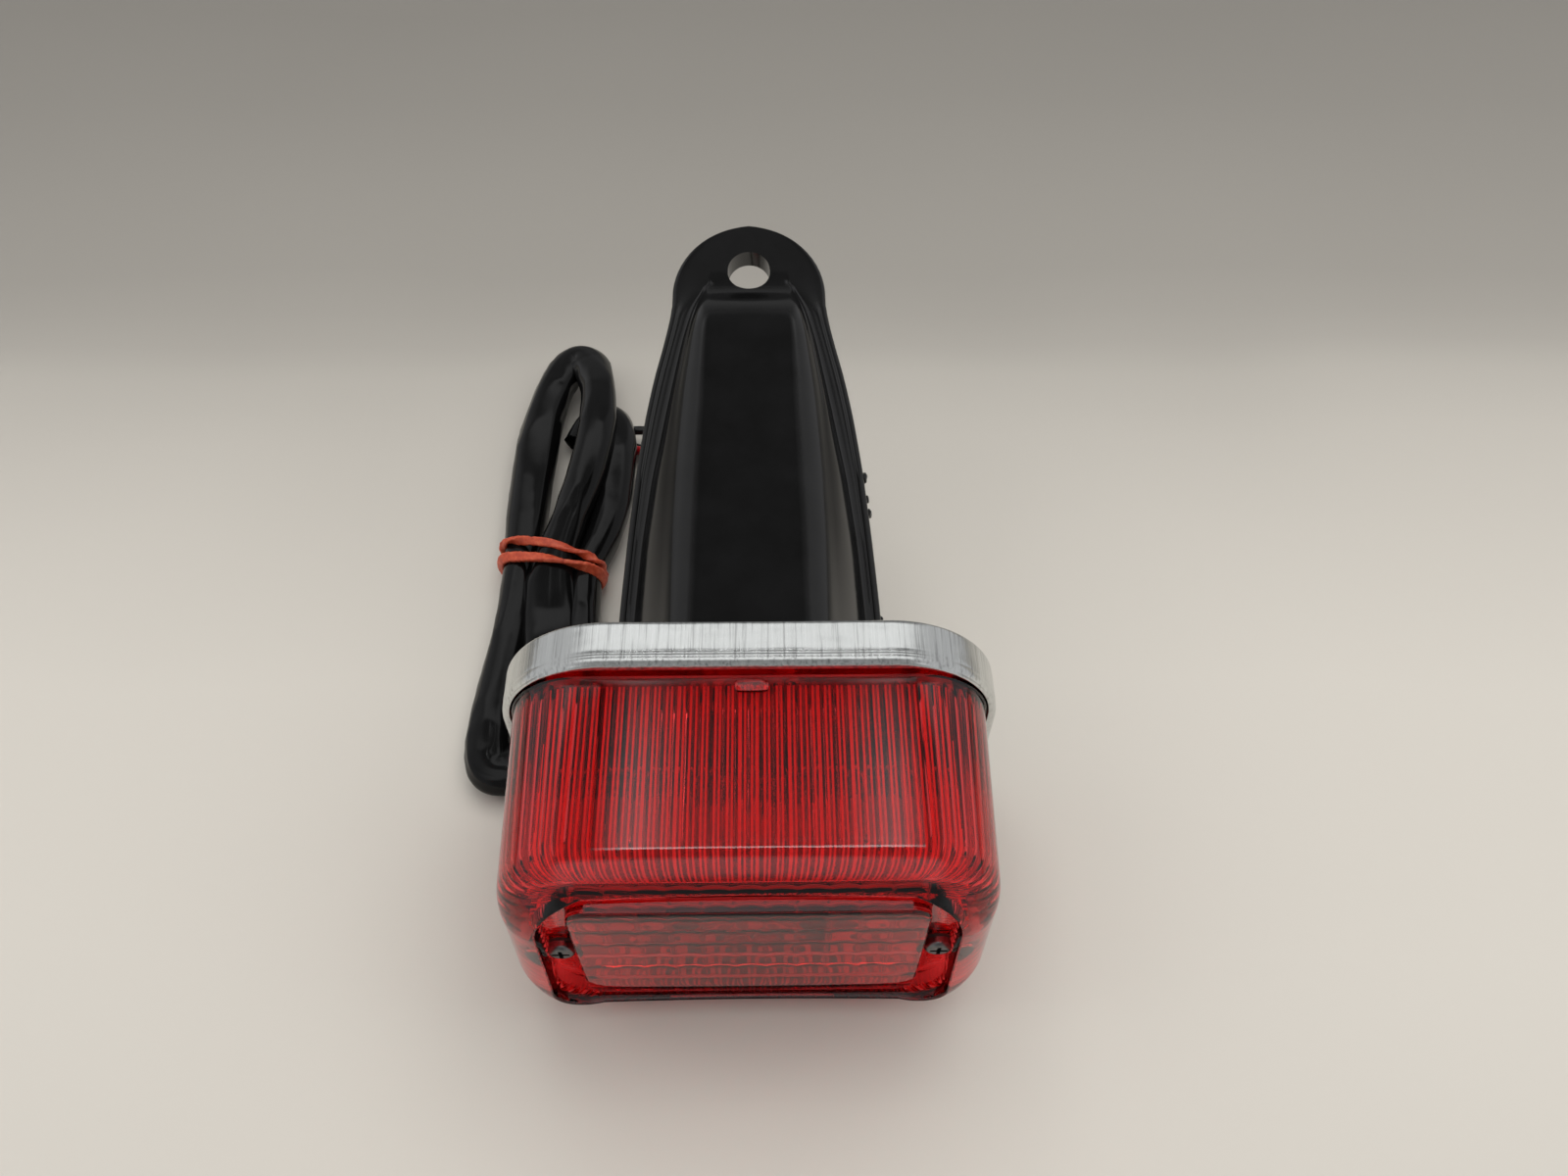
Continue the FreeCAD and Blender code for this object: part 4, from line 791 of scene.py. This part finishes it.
# screw pillars inside the lens
pill = []
for sx in (-1, 1):
    lp = []
    for y, r0 in [(7.9, 1.75), (7.9, 3.1), (-34.0, 3.5), (-37.2, 3.9), (-37.2, 1.75)]:
        lp.append([P(sx * 31.7 + r0 * math.cos(2 * math.pi * k / 40), y, 27.15 + r0 * math.sin(2 * math.pi * k / 40)) for k in range(40)])
    o = loops_object("lens_pillar_" + ("l" if sx < 0 else "r"), lp, close=True, sharp=35)
    put(o, M["lens"])
    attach(o, "lens")

# moulded block at the top of the rear edge
bx, by, bz_ = 0.55, -2.1, 50.66
vs = []
for dz, k in ((-0.4, 1.0), (0.16, 1.0), (0.24, 0.94)):
    for a in range(32):
        t = 2 * math.pi * a / 32
        cx_ = math.copysign(abs(math.cos(t)) ** 0.4, math.cos(t)) * 2.9 * k
        cy_ = math.copysign(abs(math.sin(t)) ** 0.4, math.sin(t)) * 1.15 * k
        vs.append(P(bx + cx_, by + cy_, bz_ + dz))
mark = loops_object("lens_mark", [vs[0:32], vs[32:64], vs[64:96]], True, True, sharp=30)
put(mark, M["lens"])
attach(mark, "lens")

# ============================================================ bracket
BA = math.radians(21.0)
CB, SB = math.cos(BA), math.sin(BA)


def BP(x, v, n):
    return P(x, 9.2 + v * CB - n * SB, 31.0 + v * SB + n * CB)


FH = ([0, 8, 16.5, 30, 44, 55.5, 64, 71, 76.5, 80], [25.8, 25.5, 25.0, 23.9, 22.5, 20.9, 19.3, 17.6, 16.4, 15.86])
HB = ([0, 15, 28.5, 42, 55.4, 62.6, 71.3, 77, 81.5, 83.6, 85], [22.9, 22.2, 21.2, 19.5, 16.95, 15.5, 13.7, 12.1, 10.8, 9.6, 8.9])
HT = ([0, 30, 60, 72, 77, 81, 85], [13.7, 12.9, 11.9, 10.9, 10.2, 9.2, 8.2])
HN = ([0, 40, 72, 75, 77, 79, 81, 83, 84.6], [18.0, 11.7, 6.7, 6.1, 5.3, 3.9, 2.1, 0.6, 0.0])


def smooth_interp(x, tab):
    # quadratic smoothing of the polyline
    w = [-2.0, -1.0, 0.0, 1.0, 2.0]
    return sum(float(np.interp(max(0, x + q), *tab)) for q in w) / len(w)


def half_flange(v):
    if v > 80:
        return math.sqrt(max(0.0004, 15.8 ** 2 - (v - 82.5) ** 2)) if v > 82.5 else 15.86 + (15.8 - 15.86) * (v - 80) / 2.5
    return smooth_interp(v, FH)


vrows = [0, 0.6, 1.4, 2.6, 4, 6, 8, 11, 14] + list(range(17, 66, 3)) + [66, 68, 69.4, 70.4, 71.4, 72.4, 73.4, 74.4, 75.4, 76.2, 77, 77.8, 78.6, 79.4, 80.2, 81, 81.8, 82.6, 83.4, 84.2, 85, 86.5, 88, 89.5, 91, 92.4, 93.6, 94.7, 95.6, 96.4, 97.0, 97.5, 97.9, 98.15, 98.28]


def bez(p, q, r, n, skip=True):
    out = []
    for i in range(1 if skip else 0, n + 1):
        t = i / n
        out.append(((1 - t) ** 2 * p[0] + 2 * t * (1 - t) * q[0] + t * t * r[0], (1 - t) ** 2 * p[1] + 2 * t * (1 - t) * q[1] + t * t * r[1]))
    return out


def half_top(v):
    f_ = half_flange(v)
    hb = min(smooth_interp(v, HB), f_ - 2.0) if v < 85 else min(8.9, f_ * 0.55)
    ht = min(smooth_interp(v, HT), hb - 0.5)
    hn = max(0.0, smooth_interp(v, HN)) if v < 85.5 else 0.0
    e = min(0.9, f_ * 0.3)
    pts = [(f_ - 0.5 * e, -5.4), (f_ - 0.1 * e, -5.3), (f_, -4.9), (f_, -2.6), (f_, -1.1)]
    pts += bez((f_, -1.1), (f_, 0), (f_ - 1.3 * e, 0), 7)
    fr = min(2.0, 0.4 * hn + 0.001, (f_ - 1.3 * e - hb) * 0.5 + 0.3)
    a0 = (f_ - 1.3 * e, 0.0)
    a1 = (hb + fr * 0.8, 0.0)
    for i in range(1, 6):
        t = i / 5
        # the rail's face dips very slightly between its edge and the hood
        pts.append((a0[0] + (a1[0] - a0[0]) * t, -0.25 * math.sin(math.pi * t) * min(1.0, hn / 4)))
    sl = Vector((ht - hb, hn))
    ln = sl.length or 1.0
    d_ = sl / ln
    s0 = (hb + d_.x * fr, d_.y * fr)
    pts += bez(a1, (hb, 0.0), s0, 7)
    R = min(5.0, hn * 0.55, ln * 0.5)
    s1_ = (ht - d_.x * R, hn - d_.y * R)
    for i in range(1, 8):
        t = i / 7
        bow = 0.35 * math.sin(math.pi * t) * min(1.0, hn / 8)
        pts.append((s0[0] + (s1_[0] - s0[0]) * t + d_.y * bow, s0[1] + (s1_[1] - s0[1]) * t - d_.x * bow))
    s2 = (ht - R * 0.9, hn + 0.12)
    pts += bez(s1_, (ht, hn + 0.05), s2, 10)
    for i in range(1, 7):
        t = i / 6
        pts.append((s2[0] * (1 - t), hn + 0.12 + 0.18 * math.sin(math.pi / 2 * t) * min(1, hn / 5)))
    return pts, f_, hb, ht, hn


def half_under(v):
    pts, f_, hb, ht, hn = half_top(v)
    w = 2.4
    open_ = 1.0 if v < 70.4 else max(0.0, 1 - (v - 70.4) / 1.2)
    top = -5.4 + (hn - w + 5.4) * open_
    ib = max(0.4, hb - w) if v < 85 else max(0.2, hb * 0.7)
    it = max(0.3, min(ht - w * 0.6, ib - 0.3))
    out = [(ib + 1.0, -5.4), (ib + 0.2, -5.3), (ib, -4.8 if open_ > 0.5 else -5.4)]
    for i in range(1, 8):
        t = i / 7
        out.append((ib + (it - ib) * t, (-4.8 if open_ > 0.5 else -5.4) + (top - 1.2 * open_ + 4.8) * t if open_ > 0.5 else -5.4 + (top + 5.4) * t))
    out.append((it - 1.4 if it > 2 else it * 0.5, top))
    out.append((it * 0.3, top))
    return out


rows_b = []
for v in vrows:
    ht_, f_, hb, ht, hn = half_top(v)
    hu = half_under(v)
    # top side, right edge to centre, then left; then underside back to the right
    sec = [(x, n) for x, n in ht_] + [(-x, n) for x, n in ht_[-2::-1]] + [(-x, n) for x, n in hu] + [(x, n) for x, n in hu[::-1]]
    row = []
    for x, n in sec:
        sh = max(0.0, 1 - v / 22.0)
        row.append(BP(x, v + n * math.tan(BA) * sh, n))
    rows_b.append(row)
bracket = loops_object("bracket_moulding", rows_b, True, True, sharp=38)
# foot plate behind the pan
poly = [(-18, 12.5), (18, 12.5), (24, 18.5), (24.2, 31), (14.7, 49.3), (-14.7, 49.3), (-24.2, 31), (-24, 18.5)]
foot = loops_object("bracket_foot", [[P(x, 9.2, z) for x, z in poly], [P(x, 12.2, z) for x, z in poly]], True, True, sharp=30)


def cutter(r, a_, b_, n=48):
    d_ = (b_ - a_).normalized()
    q1_ = d_.orthogonal().normalized()
    q2_ = d_.cross(q1_)
    return loops_object("cutter", [[p + q1_ * (r * math.cos(2 * math.pi * k / n)) + q2_ * (r * math.sin(2 * math.pi * k / n)) for k in range(n)] for p in (a_, b_)], True, True)


def drill(o, cut_):
    md = o.modifiers.new("drill", "BOOLEAN")
    md.object = cut_
    md.operation = "DIFFERENCE"
    md.solver = "EXACT"
    dg = bpy.context.evaluated_depsgraph_get()
    me = bpy.data.meshes.new_from_object(o.evaluated_get(dg))
    o.modifiers.clear()
    o.data = me
    bpy.data.objects.remove(cut_)


drill(bracket, cutter(0.0044, BP(0, 87.8, -8), BP(0, 87.8, 4)))
drill(foot, cutter(0.0096, P(0, 5, 28), P(0, 20, 28)))
for sx in (-1, 1):
    drill(foot, cutter(0.00225, P(sx * 16.6, 5, 20), P(sx * 16.6, 20, 20)))
for o in (bracket, foot):
    o.data.polygons.foreach_set("use_smooth", [True] * len(o.data.polygons))
    o.data.set_sharp_from_angle(angle=math.radians(38))
    put(o, M["black"])
    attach(o, "root")
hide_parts("bracket")
# gate vestiges on the right rail
for i, (v, sz) in enumerate([(43.0, 1.15), (38.5, 0.8), (35.5, 1.0), (14.0, 0.7)]):
    me = bpy.data.meshes.new("gate_mark_%d" % i)
    bm = bmesh.new()
    bmesh.ops.create_icosphere(bm, subdivisions=3, radius=sz / 1000.0)
    for q in bm.verts:
        q.co *= 1.0 + 0.35 * noise.noise(q.co * 1600.0 + Vector((i * 3.1, 0, 0)))
        q.co.x *= 0.7
    bm.to_mesh(me)
    bm.free()
    me.polygons.foreach_set("use_smooth", [True] * len(me.polygons))
    o = link(bpy.data.objects.new("gate_mark_%d" % i, me))
    me.transform(Matrix.Translation(BP(half_flange(v) + 0.1, v, -2.2)))
    put(o, M["black"])
    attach(o, "root")

# ============================================================ CAD nodes that stay
KEEP = {"plate_window": "window", "lens_gasket": "foam", "lens_screws": "screw", "lens_screw_washers": "fibre", "lens_screw_nuts": "screw",
        "bulb_glass": "bulb", "bulb_cap": "nickel", "bulb_pins": "brass", "bulb_contacts": "solder", "bulb_filaments": "tungsten",
        "bulb_holder": "zinc_plain", "contact_disc": "phenolic", "contact_buttons": "brass", 
        "wire_grommet": "rubber", "bracket_screws": "screw", "bracket_screw_washers": "screw", "bracket_screw_nuts": "screw", "earth_terminal": "brass"}
for node, key in KEEP.items():
    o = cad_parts[node]
    o.data.materials.clear()
    o.data.materials.append(M[key])

coil = link(bpy.data.objects.new("spring_coil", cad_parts["contact_spring"].data.copy()))
put(coil, M["spring"])
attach(coil, "root")
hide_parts("contact_spring")
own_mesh(coil)

# ============================================================ stage
def paper_material():
    mat, nt, b = principled("paper", (0.56, 0.545, 0.50), 0.75)
    b.inputs["Specular IOR Level"].default_value = 0.1
    # the paper's colour darkens away behind the lamp, with a wobbly edge: painted shade for the light falling off there
    tc = N(nt, "ShaderNodeTexCoord")
    sep = N(nt, "ShaderNodeSeparateXYZ")
    L(nt, tc.outputs["Object"], sep.inputs[0])
    wob = noise_tex(nt, tc.outputs["Object"], 9.0, 1.0, 0.5)
    add = N(nt, "ShaderNodeMath", operation="ADD")
    L(nt, sep.outputs["Y"], add.inputs[0])
    L(nt, map_range(nt, wob, -0.012, 0.012), add.inputs[1])
    t = map_range(nt, add.outputs[0], 0.0, 1.0, -0.0798, 0.3202)
    w = (0.640, 0.606, 0.548)
    stops = [(0.05, 1.0), (0.2, 0.96), (0.3, 0.86), (0.38, 0.76), (0.44, 0.66), (0.469, 0.57), (0.4975, 0.52), (0.5375, 0.475), (0.6275, 0.44), (0.755, 0.385), (0.8875, 0.35)]
    col = ramp(nt, t, [(q, tuple(c_ * k for c_ in w)) for q, k in stops])
    L(nt, col, b.inputs["Base Color"])
    scr = noise_tex(nt, tc.outputs["Object"], 160.0, 5.0, 0.7)
    bump(nt, b, scr, 0.06, 0.0002)
    return mat


fl = mesh_object("floor", [(-1.6, -1.2, 0), (1.6, -1.2, 0), (1.6, 1.6, 0), (-1.6, 1.6, 0)], [(0, 1, 2, 3)], None, False)
put(fl, paper_material())


def area(name, loc, target, sx, sy, power, color=(1, 1, 1)):
    d = bpy.data.lights.new(name, "AREA")
    d.shape = "RECTANGLE"
    d.size = sx
    d.size_y = sy
    d.energy = power
    d.color = color
    o = link(bpy.data.objects.new(name, d))
    o.location = loc
    dirn = Vector(target) - Vector(loc)
    o.rotation_euler = dirn.to_track_quat("-Z", "Y").to_euler()
    return o


world = bpy.data.worlds.new("world")
world.use_nodes = True
wt = world.node_tree
bg = wt.nodes["Background"]
bpy.context.scene.world = world
# a pale room: dark behind the lamp low down, a bright strip above it, a dim ceiling, bright sides and front
tc = N(wt, "ShaderNodeTexCoord")
sep = N(wt, "ShaderNodeSeparateXYZ")
L(wt, tc.outputs["Generated"], sep.inputs[0])
at = N(wt, "ShaderNodeMath", operation="ARCTAN2")
L(wt, sep.outputs["Z"], at.inputs[0])
L(wt, sep.outputs["Y"], at.inputs[1])
el = map_range(wt, at.outputs[0], 0.0, 1.0, 0.0, math.pi)
arc_col = ramp(wt, el, [(0.0, (0.20,) * 3), (0.255, (0.22,) * 3), (0.289, (1.0,) * 3), (0.331, (1.0,) * 3), (0.345, (0.20,) * 3), (0.45, (0.20,) * 3), (0.489, (0.95,) * 3), (0.60, (0.85,) * 3), (0.66, (0.22,) * 3), (1.0, (0.28,) * 3)])
ab = N(wt, "ShaderNodeMath", operation="ABSOLUTE")
L(wt, sep.outputs["X"], ab.inputs[0])
sd = map_range(wt, ab.outputs[0], 0.0, 1.0, 0.35, 0.6)
mx = N(wt, "ShaderNodeMix", data_type="RGBA")
L(wt, sd, mx.inputs["Factor"])
L(wt, arc_col, mx.inputs[6])
mx.inputs[7].default_value = (0.46, 0.46, 0.465, 1.0)
L(wt, mx.outputs[2], bg.inputs["Color"])
bg.inputs["Strength"].default_value = 1.25


for nm, loc, sx_, sy_, pw_ in (("soft_back", (0.1, 0.42, 0.95), 1.1, 0.7, 6.0), ("soft_right", (0.9, 0.0, 0.75), 0.7, 0.7, 2.2), ("soft_left", (-0.9, 0.0, 0.75), 0.7, 0.7, 2.0)):
    lo_ = area(nm, loc, (0, 0.0, 0.0), sx_, sy_, pw_, (1.0, 0.985, 0.965))
    lo_.visible_glossy = False


# a lit opening high behind the lamp, brighter towards its sides and its near edge
pw, pd = 0.262, 0.172
win = mesh_object("ceiling_opening", [(-pw / 2, -pd / 2, 0), (pw / 2, -pd / 2, 0), (pw / 2, pd / 2, 0), (-pw / 2, pd / 2, 0)], [(0, 3, 2, 1)], None, False)
win.location = P(0, 312, 750)
wm = bpy.data.materials.new("opening_light")
wm.use_nodes = True
wn = wm.node_tree
for q in list(wn.nodes):
    wn.nodes.remove(q)
out = N(wn, "ShaderNodeOutputMaterial")
em = N(wn, "ShaderNodeEmission")
L(wn, em.outputs[0], out.inputs["Surface"])
tc = N(wn, "ShaderNodeTexCoord")
sep = N(wn, "ShaderNodeSeparateXYZ")
L(wn, tc.outputs["Object"], sep.inputs[0])
ax_ = N(wn, "ShaderNodeMath", operation="ABSOLUTE")
L(wn, sep.outputs["X"], ax_.inputs[0])
ux = map_range(wn, ax_.outputs[0], 0.0, 1.0, 0.0, pw / 2)
uy = map_range(wn, sep.outputs["Y"], 0.0, 1.0, -pd / 2, pd / 2)


def grey(v_):
    return (v_, v_, v_)


gx = ramp(wn, ux, [(0.0, grey(0.16)), (0.45, grey(0.22)), (0.72, grey(0.75)), (0.80, grey(0.72)), (1.0, grey(0.0))])
gy_ = ramp(wn, uy, [(0.0, grey(0.0)), (0.05, grey(1.0)), (0.5, grey(0.8)), (1.0, grey(0.15))])
ge = ramp(wn, uy, [(0.0, grey(0.0)), (0.02, grey(1.0)), (0.08, grey(1.0)), (0.14, grey(0.0))])
mul = N(wn, "ShaderNodeMath", operation="MULTIPLY")
L(wn, gx, mul.inputs[0])
L(wn, gy_, mul.inputs[1])
gxe = ramp(wn, ux, [(0.0, grey(1.0)), (0.78, grey(1.0)), (1.0, grey(0.0))])
mul2 = N(wn, "ShaderNodeMath", operation="MULTIPLY")
L(wn, ge, mul2.inputs[0])
L(wn, gxe, mul2.inputs[1])
mad = N(wn, "ShaderNodeMath", operation="MULTIPLY_ADD")
L(wn, mul2.outputs[0], mad.inputs[0])
mad.inputs[1].default_value = 2.0
L(wn, mul.outputs[0], mad.inputs[2])
fin = N(wn, "ShaderNodeMath", operation="MULTIPLY")
L(wn, mad.outputs[0], fin.inputs[0])
fin.inputs[1].default_value = 2.4
L(wn, fin.outputs[0], em.inputs["Strength"])
win.data.materials.append(wm)

bpy.context.scene.view_settings.view_transform = "Standard"
